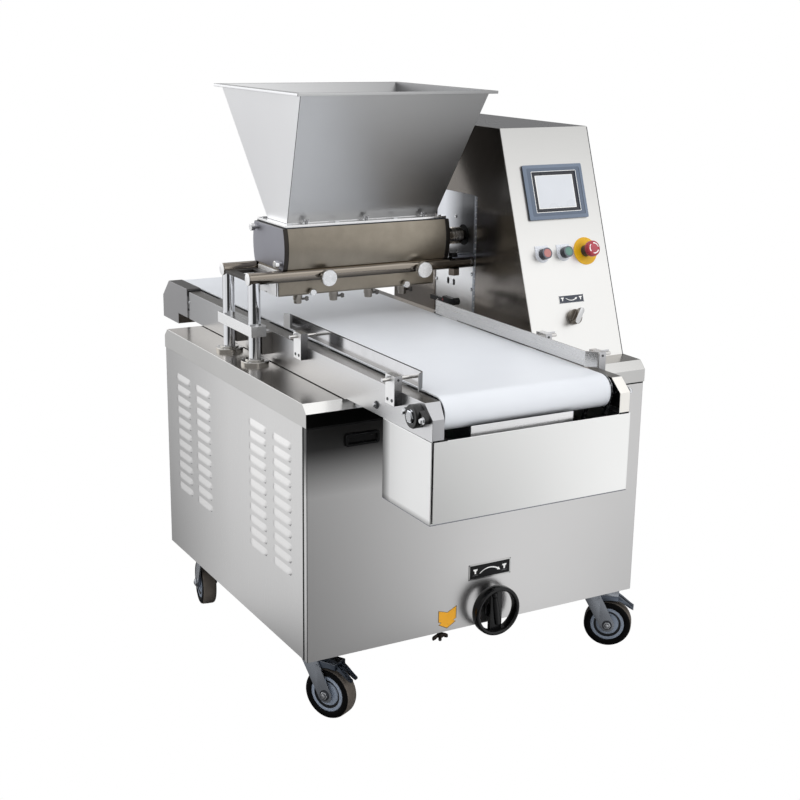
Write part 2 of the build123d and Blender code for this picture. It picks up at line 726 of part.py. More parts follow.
# Conveyor side frames: two channels, open towards the belt, chamfered at the front
outer_path = [
    (-723, frame_top), (frame_front, 840), (frame_front, frame_bottom),
    (frame_rear, frame_bottom), (frame_rear, frame_top),
]
inner_path = [
    (-721.9, frame_top - web), (frame_front + web, 838.5), (frame_front + web, frame_bottom + web),
    (frame_rear + 5, frame_bottom + web), (frame_rear + 5, frame_top - web),
]
with BuildPart() as conveyor_frames:
    side_profile(outer_path, frame_left[0], frame_left[1])
    side_profile(outer_path, frame_right[0], frame_right[1])
    side_profile(inner_path, frame_left[0] + web, frame_left[1] + 1, Mode.SUBTRACT)
    side_profile(inner_path, frame_right[0] - 1, frame_right[1] - web, Mode.SUBTRACT)
    for x0, x1 in (frame_left, frame_right):
        rod_x(x0 - 1, x1 + 1, -roller_y, roller_z, 13, Mode.SUBTRACT)
save(conveyor_frames, "conveyor_frames")

# Slider bed under the upper belt run, on cross tubes that tie the two frames together
with BuildPart() as belt_bed:
    block(belt_x[0] + 4, belt_x[1] - 4, -655, 655, 864, 869)
    for y in (-560.0, -200.0, 130.0, 430.0):
        block(bed_left, bed_right, y - 15, y + 15, 834, frame_top - web)
    for y in (-560.0, -200.0, 130.0, 430.0):
        block(bed_left - 1, bed_right + 1, y - 12, y + 12, 837, 861, Mode.SUBTRACT)
save(belt_bed, "belt_bed")


def belt_loop(radius, x0, x1, mode=Mode.ADD):
    with BuildSketch(Plane.YZ.offset(x0)) as loop:
        with Locations((0, roller_z)):
            SlotCenterToCenter(2 * roller_y, 2 * radius)
    extrude(loop.sketch, amount=x1 - x0, dir=(1, 0, 0), mode=mode)


# Endless belt
with BuildPart() as conveyor_belt:
    belt_loop(belt_r, belt_x[0], belt_x[1])
    belt_loop(belt_r - belt_thick, belt_x[0] - 1, belt_x[1] + 1, Mode.SUBTRACT)
save(conveyor_belt, "conveyor_belt")

# Front roller with its sprocket, and rear roller
roller_r = belt_r - belt_thick - 0.4
sprocket_r = 27.0
with BuildPart() as front_roller:
    rod_x(belt_x[0] + 2, belt_x[1] - 2, -roller_y, roller_z, roller_r)
    rod_x(frame_left[0] - 25, frame_right[1] + 16, -roller_y, roller_z, shaft_r)
    rod_x(85, 92, -roller_y, roller_z, sprocket_r)
save(front_roller, "front_roller")

with BuildPart() as rear_roller:
    rod_x(belt_x[0] + 2, belt_x[1] - 2, roller_y, roller_z, roller_r)
    rod_x(frame_left[0] + 0.5, frame_right[1] - 0.5, roller_y, roller_z, shaft_r)
save(rear_roller, "rear_roller")


def flange_bearing(x0, x1, y, boss, ears):
    # Round or two-bolt oval flange with a round boss on the side given by boss, bored for the shaft
    with BuildSketch(Plane.YZ.offset(x0)) as oval:
        with Locations((y, roller_z)):
            Circle(25)
            SlotOverall(ears, 28)
    extrude(oval.sketch, amount=x1 - x0, dir=(1, 0, 0))
    rod_x(min(x0, x0 + boss), max(x1, x1 + boss), y, roller_z, 21)
    rod_x(x0 - 20, x1 + 20, y, roller_z, shaft_r + running, Mode.SUBTRACT)


# Bearings of the two rollers: outside the frames in front, inside the take-up caps at the rear
with BuildPart() as bearing_units:
    flange_bearing(frame_left[0] - 12, frame_left[0], -roller_y, -8, 88)
    flange_bearing(frame_right[1], frame_right[1] + 7, -roller_y, 0, 88)
    flange_bearing(frame_left[0] - 1, frame_left[0] + 11, roller_y, 6, 46)
    flange_bearing(frame_right[1] - 11, frame_right[1] + 1, roller_y, -6, 46)
save(bearing_units, "bearing_units")

# Take-up caps behind the frames, on tongues that slide in the channels, tied by a cross plate
cap_outer = [(565, 875), (705, 875), (755, 827), (755, 764), (635, 764), (635, 794), (565, 794)]
cap_inner = [(568, 872), (703.8, 872), (752, 825.7), (752, 767), (638, 767), (638, 797), (568, 797)]
with BuildPart() as take_up_caps:
    side_profile(cap_outer, frame_left[0] - 4, frame_left[1])
    side_profile(cap_inner, frame_left[0] - 1, frame_left[1] + 1, Mode.SUBTRACT)
    block(bed_left - 4, bed_left + 6, 563, 648, 820, 854)
    block(bed_left, bed_left + 6, 470, 563, 820, 854)
    block(frame_left[1] - 1, frame_right[0] + 1, 635, 638, 764, 790)
    side_profile(cap_outer, frame_right[0], frame_right[1] + 4)
    side_profile(cap_inner, frame_right[0] - 1, frame_right[1] + 1, Mode.SUBTRACT)
    block(bed_right - 6, bed_right + 4, 563, 648, 820, 854)
    block(bed_right - 6, bed_right, 470, 563, 820, 854)
save(take_up_caps, "take_up_caps")


def guide_rail(face_x, out, rods, rod_end):
    # Upright strip beside the belt with both ends bent outwards, on two rods
    back = face_x + out * 2
    block(min(face_x, back), max(face_x, back), rail_front + 1, rail_rear - 1, rail_bottom, rail_top)
    for end, way, wing in ((rail_front, -1, front_wing), (rail_rear, 1, rear_wing)):
        plan_profile([
            (face_x, end - way), (face_x + out * wing, end + way * (wing - 1)),
            (face_x + out * (wing + 1.4), end + way * (wing - 2.4)), (back, end - way * 1.8),
        ], rail_bottom, rail_top)
    for y in rods:
        rod_x(min(back, rod_end), max(back, rod_end), y, rail_rod_z, rail_rod_r)


with BuildPart() as left_guide_rail:
    guide_rail(-329, -1, left_rods, -405)
save(left_guide_rail, "left_guide_rail")

with BuildPart() as right_guide_rail:
    guide_rail(79, 1, right_rods, 165)
save(right_guide_rail, "right_guide_rail")

# Clamp blocks of the guide rods on the frames, each with a thin lever pin above the rod
with BuildPart() as rail_clamps:
    for x0, rods, pin in ((frame_left[0] - 18, left_rods, (-9, 1)), (frame_right[1], right_rods, (17, 39))):
        for y in rods:
            block(x0, x0 + 18, y - 19, y + 19, 840, 902)
            rod_x(x0 + pin[0], x0 + pin[1], y, 899.6, 2)
    for x0, rods in ((frame_left[0] - 18, left_rods), (frame_right[1], right_rods)):
        for y in rods:
            rod_x(x0 - 1, x0 + 19, y, rail_rod_z, rail_rod_r + running, Mode.SUBTRACT)
save(rail_clamps, "rail_clamps")

# Sheet box under the front of the conveyor, open at the top, with a crumb strip inside
box_x = (-370.0, 126.0)
box_y = (-755.0, -557.0)
box_bottom = 619.0
with BuildPart() as drive_box:
    block(box_x[0], box_x[1], box_y[0], box_y[1], box_bottom, frame_bottom)
    block(box_x[0] + sheet, box_x[1] - sheet, box_y[0] + sheet, box_y[1] - sheet,
          box_bottom + sheet, frame_bottom + 1, Mode.SUBTRACT)
    block(box_x[0] + sheet, box_x[0] + sheet + 4, box_y[0] - 1, box_y[0] + sheet,
          box_bottom + 4, frame_bottom + 1, Mode.SUBTRACT)
    block(-270, -16, box_y[0] + sheet, -740, 768, 770)
    block(-270, -16, -742, -740, 768, 812)
    block(-27, -16, -742, -740, 768, 821)
save(drive_box, "drive_box")

# Gearmotor of the belt on the floor of the box, with its sprocket
motor_y = -650.0
motor_z = 700.0
with BuildPart() as belt_gearmotor:
    block(-230, 60, motor_y - 45, motor_y + 45, box_bottom + sheet, box_bottom + 12)
    block(10, 80, motor_y - 42, motor_y + 42, box_bottom + 12, 752)
    rod_x(-235, 10, motor_y, motor_z, 46)
    block(-200, -40, motor_y - 30, motor_y + 30, box_bottom + 12, motor_z)
    rod_x(80, 93, motor_y, motor_z, shaft_r)
    rod_x(85, 92, motor_y, motor_z, sprocket_r)
save(belt_gearmotor, "belt_gearmotor")

# Chain loop from the motor sprocket up to the front roller
chain_run = sqrt((motor_y + roller_y) ** 2 + (roller_z - motor_z) ** 2)
chain_angle = degrees(atan2(roller_z - motor_z, -roller_y - motor_y))
chain_mid = ((motor_y - roller_y) / 2, (motor_z + roller_z) / 2)
with BuildPart() as drive_chain:
    with BuildSketch(Plane.YZ.offset(85.5)):
        with Locations(Location((chain_mid[0], chain_mid[1]), chain_angle)):
            SlotCenterToCenter(chain_run, 2 * sprocket_r + 9)
            SlotCenterToCenter(chain_run, 2 * sprocket_r + 0.8, mode=Mode.SUBTRACT)
    extrude(amount=6)
save(drive_chain, "drive_chain")

# Linear bush block that runs on the two columns, with the two posts that carry the conveyor from it
with BuildPart() as bush_block:
    block(-430, -390, -13, 199, 860, 887)
    fillet(bush_block.edges().filter_by(Axis.Z), 3)
    for y in column_y:
        block(column_x + column_r + 0.6, frame_left[0], y - 9, y + 9, 812, 866)
        rod_z(859, 888, column_x, y, column_r + running + 0.01, Mode.SUBTRACT)
save(bush_block, "bush_block")

# Tray sensor on the right frame
with BuildPart() as tray_sensor:
    block(99, 121, 4, 24, frame_top, frame_top + 3)
    block(109, 112, 4, 24, frame_top, 905)
    block(108, 114, -50, 60, 899, 910)
    block(108, 121, -56, 0, 903, 916)
    rod_x(108, 121, -58, 911, 9)
save(tray_sensor, "tray_sensor")

# Lift yoke: cross bar, two push rods up to the frames and the lift screw down into the gearbox
with BuildPart() as lift_yoke:
    block(lift_rod_x[0] - 18, lift_rod_x[1] + 18, lift_y - 20, lift_y + 20, 520, 560)
    for x in lift_rod_x:
        rod_z(559, frame_bottom, x, lift_y, lift_rod_r)
    rod_z(193, 521, wheel_axis_x, lift_y, lift_screw_r)
save(lift_yoke, "lift_yoke")

# Swivel casters: name, place of the swivel axis, direction of the trailing wheel, brake
caster_list = (
    ("front_left", swivel_x[0], cab_mid - swivel_y, -61.5, True),
    ("front_right", swivel_x[1], cab_mid - swivel_y, -41.0, True),
    ("rear_left", swivel_x[0], cab_mid + swivel_y, 79.5, False),
    ("rear_right", swivel_x[1], cab_mid + swivel_y, 60.0, False),
)

# Top plates bolted under the pads, each with its king pin
with BuildPart() as caster_top_plates:
    for name, x, y, turn, brake in caster_list:
        block(x - 44, x + 44, y - 34, y + 34, plate_bottom, pad_bottom)
        rod_z(144, plate_bottom, x, y, 10)
        rod_z(139, 144, x, y, 15)
save(caster_top_plates, "caster_top_plates")

fork_top = plate_bottom - 1
leg_path = [(-26, fork_top - 8), (27, fork_top - 8), (30, 140), (trail + 19.5, 68), (trail + 18, 54),
            (trail + 10, 45.5), (trail, 43), (trail - 10, 45.5), (trail - 18, 53), (trail - 20, 62),
            (-16, 140)]
leg_gap = wheel_width / 2 + 3
leg_thick = 3.5
pedal_pin = (26.0, 133.5)
for name, x, y, turn, brake in caster_list:
    ahead = Vector(cos(radians(turn)), sin(radians(turn)), 0)
    across = Vector(-sin(radians(turn)), cos(radians(turn)), 0)
    middle = Plane(origin=(x, y, 0), x_dir=ahead, z_dir=-across)

    # Fork: round crown, two legs, axle bolt, and the pedal pin where there is a brake
    with BuildPart() as caster_fork:
        rod_z(fork_top - 10, fork_top, x, y, 38)
        for offset in (leg_gap, -leg_gap - leg_thick):
            with BuildSketch(middle.offset(offset)):
                with BuildLine():
                    Polyline(*leg_path, close=True)
                make_face()
            extrude(amount=leg_thick)
        rod_z(fork_top - 11, fork_top + 1, x, y, 10 + running, Mode.SUBTRACT)
        with BuildSketch(middle.offset(-leg_gap - leg_thick - 5)):
            with Locations((trail, wheel_r)):
                Circle(axle_r)
        extrude(amount=2 * (leg_gap + leg_thick + 5))
        for offset in (leg_gap + leg_thick, -leg_gap - leg_thick - 5):
            with BuildSketch(middle.offset(offset)):
                with Locations((trail, wheel_r)):
                    RegularPolygon(10, 6)
            extrude(amount=5)
        if brake:
            with BuildSketch(middle.offset(-leg_gap - leg_thick)):
                with Locations(pedal_pin):
                    Circle(3.5)
            extrude(amount=2 * (leg_gap + leg_thick))
    save(caster_fork, name + "_fork")

    # Wheel: moulded tyre on a recessed hub
    with BuildPart() as caster_wheel:
        with BuildSketch(middle.offset(-wheel_width / 2)):
            with Locations((trail, wheel_r)):
                Circle(wheel_r)
        extrude(amount=wheel_width)
        fillet(caster_wheel.edges().filter_by(GeomType.CIRCLE), 5)
        for offset in (-wheel_width / 2, wheel_width / 2 - 6):
            with BuildSketch(middle.offset(offset)):
                with Locations((trail, wheel_r)):
                    Circle(45)
                    Circle(18, mode=Mode.SUBTRACT)
            extrude(amount=6, mode=Mode.SUBTRACT)
        for offset in (-wheel_width / 2 - 2.5, wheel_width / 2):
            with BuildSketch(middle.offset(offset)):
                with Locations((trail, wheel_r)):
                    Circle(14)
            extrude(amount=2.5)
        with BuildSketch(middle.offset(-wheel_width / 2 - 4)):
            with Locations((trail, wheel_r)):
                Circle(axle_r + running)
        extrude(amount=wheel_width + 8, mode=Mode.SUBTRACT)
    save(caster_wheel, name + "_wheel")

    # Brake pedal on its pin between the legs: a plate over the wheel, a strip behind it and a toe tab
    if brake:
        with BuildPart() as caster_pedal:
            with BuildSketch(middle.offset(-leg_gap + 1)):
                with BuildLine():
                    Polyline((20, 145), (20, 131), (42, 128.5), (56, 132.5), (76, 130), (76, 145),
                             close=True)
                make_face()
            extrude(amount=2 * leg_gap - 2)
            with BuildSketch(middle.offset(-15)):
                with BuildLine():
                    Polyline((70, 140), (70, 131.5), (76, 130), (84, 126), (92, 121), (102, 114), (110, 109),
                             (116, 107), (116, 111.5), (107, 116), (97, 125), (87, 133), (77, 140),
                             close=True)
                make_face()
            extrude(amount=30)
            with BuildSketch(middle.offset(-leg_gap)):
                with Locations(pedal_pin):
                    Circle(3.5 + running)
            extrude(amount=2 * leg_gap, mode=Mode.SUBTRACT)
        save(caster_pedal, name + "_pedal")
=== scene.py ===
import bmesh
import bpy
from math import asin, copysign, cos, pi, radians, sin
from mathutils import Matrix, Vector
from mathutils.geometry import convex_hull_2d


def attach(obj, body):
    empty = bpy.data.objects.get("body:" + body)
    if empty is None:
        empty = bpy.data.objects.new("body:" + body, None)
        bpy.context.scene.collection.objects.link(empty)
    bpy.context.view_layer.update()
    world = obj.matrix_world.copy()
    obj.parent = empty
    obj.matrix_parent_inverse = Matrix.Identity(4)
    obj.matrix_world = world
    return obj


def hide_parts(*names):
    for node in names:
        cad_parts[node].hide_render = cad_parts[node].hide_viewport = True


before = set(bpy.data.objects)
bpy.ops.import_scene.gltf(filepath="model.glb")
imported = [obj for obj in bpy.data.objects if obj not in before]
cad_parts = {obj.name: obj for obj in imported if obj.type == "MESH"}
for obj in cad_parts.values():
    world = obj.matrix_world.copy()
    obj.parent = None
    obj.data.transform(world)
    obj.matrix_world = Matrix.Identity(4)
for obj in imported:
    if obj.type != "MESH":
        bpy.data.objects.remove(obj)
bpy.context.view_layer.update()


# Welded frame of angle steel with the flat bar for the lift gear, hidden behind the sheet panels.
# Cut lengths, welded at the corners and sprayed with grey enamel in one coat.
def tone(red, green, blue):
    # A colour given from 0 to 255, as the linear values that a shader takes
    parts = [value / 255 for value in (red, green, blue)]
    return (*[p / 12.92 if p < 0.04 else ((p + 0.055) / 1.055) ** 2.4 for p in parts], 1.0)


def shade(colour, factor):
    # A colour made darker or lighter
    return tuple(min(1.0, v * factor) for v in colour[:3]) + (1.0,)


def feed(tree, node, feeds):
    # Sockets or plain values fed into a node
    for key, value in feeds.items():
        if isinstance(value, bpy.types.NodeSocket):
            tree.links.new(value, node.inputs[key])
        else:
            node.inputs[key].default_value = value


def put(tree, kind, feeds={}, **settings):
    # One node of a tree, with its settings and what is fed into it
    made = tree.nodes.new(kind)
    for key, value in settings.items():
        setattr(made, key, value)
    feed(tree, made, feeds)
    return made


def span(tree, value, low, high, first=0.0, last=1.0, kind="LINEAR"):
    # A value carried over from one range to another and held at its ends
    feeds = {"Value": value, "From Min": low, "From Max": high, "To Min": first, "To Max": last}
    return put(tree, "ShaderNodeMapRange", feeds, interpolation_type=kind).outputs["Result"]


def noise(tree, spot, scale, detail, rough=0.5):
    # Random clouds from 0 to 1
    feeds = {"Vector": spot, "Scale": scale, "Detail": detail, "Roughness": rough}
    return put(tree, "ShaderNodeTexNoise", feeds).outputs["Fac"]


def relief(tree, height, strength, distance):
    # Fine ups and downs of a surface
    feeds = {"Height": height, "Strength": strength, "Distance": distance}
    return put(tree, "ShaderNodeBump", feeds).outputs["Normal"]


def mottled(tree, spot, scale, dark, light):
    # Soft clouds between two shades of one colour
    ramp = put(tree, "ShaderNodeValToRGB", {"Fac": noise(tree, spot, scale, 3.0)})
    for stop, share, colour in zip(ramp.color_ramp.elements, (0.3, 0.7), (dark, light)):
        stop.position = share
        stop.color = colour
    return ramp.outputs["Color"]


def bare(name):
    # A new finish: itself, its tree, its surface node and the place on the piece
    made = bpy.data.materials.new(name)
    made.use_nodes = True
    tree = made.node_tree
    return made, tree, tree.nodes["Principled BSDF"], put(tree, "ShaderNodeTexCoord").outputs["Object"]


def coated(name, colour, rough, grain=500, dimple=0.1, mottle=0.06, coat=0.0, shine=0.5):
    # Paint, moulded plastic or rubber: a fine dimpled skin with slight clouds of shade
    made, tree, skin, spot = bare(name)
    paint = tone(*colour)
    gloss = noise(tree, spot, 23.0, 3.0)
    feed(tree, skin, {
        "Base Color": mottled(tree, spot, 9.0, shade(paint, 1 - mottle), shade(paint, 1 + mottle)),
        "Roughness": span(tree, gloss, 0.3, 0.7, max(0.02, rough - 0.06), rough + 0.06),
        "Normal": relief(tree, noise(tree, spot, grain, 2.0), dimple, 0.0004),
        "Coat Weight": coat, "Specular IOR Level": shine})
    return made


def dress(node, material):
    # Gives a piece carried over from the frame its finish
    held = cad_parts[node]
    if not held.material_slots:
        held.data.materials.append(material)
    for slot in held.material_slots:
        slot.material = material


dress("base_frame", coated("frame_enamel", (112, 114, 117), 0.5, 420, 0.16))


# Steel casters: pressed top plates under the pads, swivelling forks, solid wheels on plain axles.
# Zinc plated steel, black rubber tyres on grey moulded hubs; the two front ones carry a brake pedal.
def axes(tree, spot):
    # The three coordinates of a place
    return put(tree, "ShaderNodeSeparateXYZ", {0: spot}).outputs


def scaled(tree, colour, share):
    # A colour dimmed by a share
    return put(tree, "ShaderNodeVectorMath", {0: colour, "Scale": share}, operation="SCALE").outputs[0]


def steel(name, colour, rough, grain=(3, 3, 260), spread=0.05, cloud=0.05, scratch=0.05, clouds=2.4, grades=()):
    # Bare metal sheet or bar: streaks along one direction in the gloss, wide clouds of shade, and where asked
    # painted shade or light: slow changes of shade, each along one axis between two places, and fading out along a
    # second axis
    made, tree, skin, spot = bare(name)
    metal = tone(*colour)
    fine = grain if isinstance(grain, tuple) else (grain, grain, grain)
    drawn = put(tree, "ShaderNodeMapping", {"Vector": spot, "Scale": fine}).outputs["Vector"]
    streak = noise(tree, drawn, 6.0, 4.0, 0.6)
    metal = mottled(tree, spot, clouds, shade(metal, 1 - cloud), shade(metal, 1 + cloud))
    for axis, start, stop, first, last, *fade in grades:
        at = axes(tree, spot)
        share = span(tree, at[axis], start, stop, first, last)
        if fade:
            away = span(tree, at[fade[0]], fade[1], fade[2])
            share = put(tree, "ShaderNodeMix", {0: away, 2: share, 3: 1.0}).outputs[0]
        metal = scaled(tree, metal, share)
    feed(tree, skin, {
        "Base Color": metal, "Roughness": span(tree, streak, 0.3, 0.7, max(0.03, rough - spread), rough + spread),
        "Normal": relief(tree, streak, scratch, 0.0001), "Metallic": 1.0})
    return made


def settle(bm, name, finish, body, nodes=(), smooth=32):
    # Turns millimetres into a finished piece in metres that rides on a body and stands for its nodes
    bmesh.ops.transform(bm, matrix=Matrix.Scale(0.001, 4), verts=bm.verts)
    bmesh.ops.recalc_face_normals(bm, faces=bm.faces)
    mesh = bpy.data.meshes.new(name)
    bm.to_mesh(mesh)
    bm.free()
    for material in finish if isinstance(finish, list) else [finish]:
        mesh.materials.append(material)
    mesh.shade_smooth()
    mesh.set_sharp_from_angle(angle=radians(smooth))
    made = bpy.data.objects.new(name, mesh)
    bpy.context.scene.collection.objects.link(made)
    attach(made, body)
    if nodes:
        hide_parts(*nodes)
    return made


shift = Matrix.Translation
laid = Matrix()
front_way = Matrix(((1, 0, 0, 0), (0, 0, -1, 0), (0, 1, 0, 0), (0, 0, 0, 1)))


def turned(bm, profile, place=laid, steps=40, ring=False, index=0):
    # A lathe form about the local Z axis from pairs of radius and height; a ring's outline is closed
    reach = bm.verts.layers.float.get("reach") or bm.verts.layers.float.new("reach")
    rows = []
    for radius, height in profile:
        row = []
        for k in range(1 if radius < 1e-6 else steps):
            a = 2 * pi * k / steps
            vert = bm.verts.new(place @ Vector((radius * cos(a), radius * sin(a), height)))
            vert[reach] = radius
            row.append(vert)
        rows.append(row)
    for low, high in zip(rows, rows[1:] + rows[:1] if ring else rows[1:]):
        for k in range(steps):
            n = (k + 1) % steps
            corners = (low[k % len(low)], low[n % len(low)], high[n % len(high)], high[k % len(high)])
            if len(set(corners)) > 2:
                bm.faces.new(list(dict.fromkeys(corners))).material_index = index


def along(axis, origin=(0, 0, 0)):
    # A place whose local Z points along the given axis
    turn = Vector((0, 0, 1)).rotation_difference(Vector(axis)).to_matrix().to_4x4()
    return shift(Vector(origin)) @ turn


def plate(bm, outline, low, high, place=laid, edge=0.0, index=0):
    # A flat outline given thickness from low to high along the local Z axis, its rims rounded by edge
    under = [bm.verts.new(place @ Vector((u, v, low))) for u, v in outline]
    over = [bm.verts.new(place @ Vector((u, v, high))) for u, v in outline]
    faces = [bm.faces.new(list(reversed(under))), bm.faces.new(over)]
    count = len(outline)
    for k in range(count):
        n = (k + 1) % count
        faces.append(bm.faces.new((under[k], under[n], over[n], over[k])))
    for face in faces:
        face.material_index = index
    if edge:
        rims = list(faces[0].edges) + list(faces[1].edges)
        bmesh.ops.bevel(bm, geom=rims, offset=edge, segments=2, profile=0.6, affect="EDGES", clamp_overlap=True)


def box(u0, u1, v0, v1):
    # Corners of a plain rectangle, also the outline of a plain rod or ring
    return [(u0, v0), (u1, v0), (u1, v1), (u0, v1)]


def soften(node, width):
    # A copy of a frame node in millimetres, joined up and with its sharp edges broken by width
    bm = bmesh.new()
    bm.from_mesh(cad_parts[node].data)
    bmesh.ops.transform(bm, matrix=Matrix.Scale(1000, 4), verts=bm.verts)
    bmesh.ops.remove_doubles(bm, verts=bm.verts, dist=0.01)
    bmesh.ops.dissolve_limit(bm, angle_limit=radians(1.5), verts=bm.verts, edges=bm.edges)
    sharp = [e for e in bm.edges if len(e.link_faces) == 2 and e.calc_face_angle() > radians(30)]
    bmesh.ops.bevel(bm, geom=sharp, offset=width, segments=2, profile=0.5, affect="EDGES", clamp_overlap=True)
    return bm


def baked(made):
    # Keeps what a piece's modifier gives as its plain mesh
    seen = bpy.context.evaluated_depsgraph_get()
    mesh = bpy.data.meshes.new_from_object(made.evaluated_get(seen))
    made.modifiers.clear()
    old = made.data
    made.data = mesh
    bpy.data.meshes.remove(old)
    mesh.name = made.name


def even(made):
    # Flat faces stay flat up to their rounded edges: normals weighted by face size, kept in the mesh
    made.modifiers.new("even", "WEIGHTED_NORMAL").keep_sharp = True
    baked(made)


def remade(bm, node, name, finish, body, pick=None):
    # A softened node as a piece of its own; pick gives each face its finish from its normal and its middle
    bm.normal_update()
    for face in bm.faces if pick else ():
        face.material_index = pick(face.normal, face.calc_center_median())
    even(settle(bm, name, finish, body, [node]))


zinc = steel("zinc_plate", (176, 181, 189), 0.26, 60, 0.08, 0.1, 0.03, 14)
bright_bolt = steel("bright_bolt", (214, 215, 217), 0.2, 90, 0.06, 0.06, 0.03, 30)
nut_chrome = steel("nut_chrome", (226, 228, 232), 0.1, 90, 0.04, 0.04, 0.02, 30)
tyre_rubber = coated("tyre_rubber", (5, 5, 6), 0.7, 300, 0.2, 0.2, shine=0.12)
tread_rubber = coated("worn_tread", (84, 78, 72), 0.85, 160, 0.35, 0.4, shine=0.3)
hub_grey = coated("hub_grey", (130, 140, 155), 0.38, 350, 0.08, 0.08)
# Painted shade: the groove in each hub is coloured near black.
hub_groove_painted_shade = coated("hub_groove_painted_shade", (26, 28, 31), 0.6, 350, 0.1, 0.1)
# Painted shade: the washers and thin rings round the axle nuts are coloured dark.
washer_painted_shade = steel("washer_painted_shade", (84, 86, 90), 0.3, 60, 0.08, 0.1, 0.03, 14)
pedal_zinc = steel("pedal_zinc", (104, 112, 124), 0.24, 60, 0.08, 0.14, 0.03, 24)
remade(soften("caster_top_plates", 0.8), "caster_top_plates", "caster_plates", zinc, "machine")
caster_places = {
    "front_left": (-398, -282, -61.5, True), "front_right": (416.5, -282, -41, True),
    "rear_left": (-398, 382, 79.5, False), "rear_right": (416.5, 382, 60, False)}
half_tyre = [(44, 17), (46.5, 19.4), (52, 20), (57, 19.6), (60.5, 17.5), (62.2, 13.5)]
tyre_outline = [(r, -h) for r, h in half_tyre] + [(62.5, 0)] + half_tyre[::-1]
half_hub = [(6.3, 22.3), (13, 22.3), (14, 21.3), (14, 18.5), (18, 17), (28, 17), (30, 14), (35, 14), (36, 17.5),
            (42, 18), (44, 17)]
hub_outline = [(r, -h) for r, h in half_hub] + half_hub[::-1]
leg_outline = [(-26, 156), (27, 156), (30, 140), (69.5, 68), (68, 54), (60, 45.5), (50, 43), (40, 45.5), (32, 53),
               (30, 62), (-16, 140)]
pedal_outline = [(20, 143.4), (20, 131), (42, 128.5), (56, 132.5), (76, 130), (76, 143.4)]
toe_outline = [(70, 140), (70, 131.5), (76, 130), (84, 126), (92, 121), (102, 114), (110, 109), (116, 107),
               (116, 111.5), (107, 116), (97, 125), (87, 133), (77, 140)]
race_outline = [(10.1, 154), (35.5, 154), (38, 156.5), (38, 161.5), (35.5, 164), (10.1, 164)]
trail, axle_height, fork_inside, fork_half = 50, 62.5, 23, 26.5
pedal_half, toe_wide = 22, 11
for corner, (x, y, turn, brake) in caster_places.items():
    stand = shift((x, y, 0)) @ Matrix.Rotation(radians(turn), 4, "Z")
    axle = stand @ along((0, 1, 0), (trail, 0, axle_height))
    side = stand @ front_way
    for label, outline, steps, finish, other, nodes, smooth in (
            ("_tyre", tyre_outline, 64, [tyre_rubber, tread_rubber], (61.2, 63), [corner + "_wheel"], 40),
            ("_hub", hub_outline, 48, [hub_grey, hub_groove_painted_shade], (29, 35.6), (), 32)):
        bm = bmesh.new()
        turned(bm, outline, axle, steps, True)
        for face in bm.faces:
            reach = Vector((axle.inverted() @ face.calc_center_median())[:2]).length
            face.material_index = 1 if other[0] < reach < other[1] else 0
        settle(bm, corner + label, finish, corner + "_wheel", nodes, smooth)
    bm = bmesh.new()
    turned(bm, race_outline, stand, 48, True)
    for low, high in ((fork_inside, fork_half), (-fork_half, -fork_inside)):
        plate(bm, leg_outline, low, high, side, 0.9)
    for out in (1, -1):
        nut = axle @ shift((0, 0, out * fork_half))
        turned(bm, box(0, 13, 0, out * 1.2), nut, 28, index=2)
        turned(bm, [(0, out), (10, out), (10, out * 4.2), (8.6, out * 5), (0, out * 5)], nut, 6, index=1)
        turned(bm, [(0, out * 4), (5, out * 4), (5, out * 6.4), (4, out * 7), (0, out * 7)], nut, 20, index=1)
        turned(bm, box(5, 6.6, out * 5.02, out * 5.3), nut, 20, True, 2)
    turned(bm, box(0, 6, -26, 26), axle, 24)
    if brake:
        turned(bm, box(0, 3.5, -27.6, 27.6), stand @ along((0, 1, 0), (26, 0, 133.5)), 16)
    settle(bm, corner + "_swivel_fork", [zinc, nut_chrome, washer_painted_shade], corner + "_swivel",
           [corner + "_fork"])
    if brake:
        bm = bmesh.new()
        plate(bm, pedal_outline, -pedal_half, pedal_half, side, 0.9)
        # The lighter zinc strip on the pedal's top is painted light.
        plate(bm, box(20.5, 75.5, 143.3, 145), -21.6, 21.6, side, 0.3, 1)
        for low in (-15, 4):
            plate(bm, toe_outline, low, low + toe_wide, side, 0.9)
        settle(bm, corner + "_brake_pedal", [pedal_zinc, zinc], corner + "_pedal",
               [corner + "_pedal"])


# Lift gear inside the cabinet: gearbox on the flat bar, screw, cross yoke and two push rods.
# Cast iron housing left dark, drawn steel rods and a square steel bar.
cast_dark = coated("cast_dark", (58, 60, 62), 0.55, 240, 0.3, 0.12)
drawn_bar = steel("drawn_bar", (186, 188, 190), 0.28, (40, 40, 3), 0.06)
dress("lift_gearbox", cast_dark)
dress("lift_yoke", drawn_bar)


# Side panels of satin stainless sheet, screwed to the frame, each with four columns of louvres.
# The louvres are pressed outwards in one stroke: closed at the top and the ends, open at the lower edge.
def piece(name, finish, body, slot, *forms, nodes=(), smooth=32):
    # One piece from lathe forms and plates, each listed with the way it is made
    bm = bmesh.new()
    for make, *sizes in forms:
        make(bm, *sizes)
    settle(bm, name, finish, body, nodes, smooth)
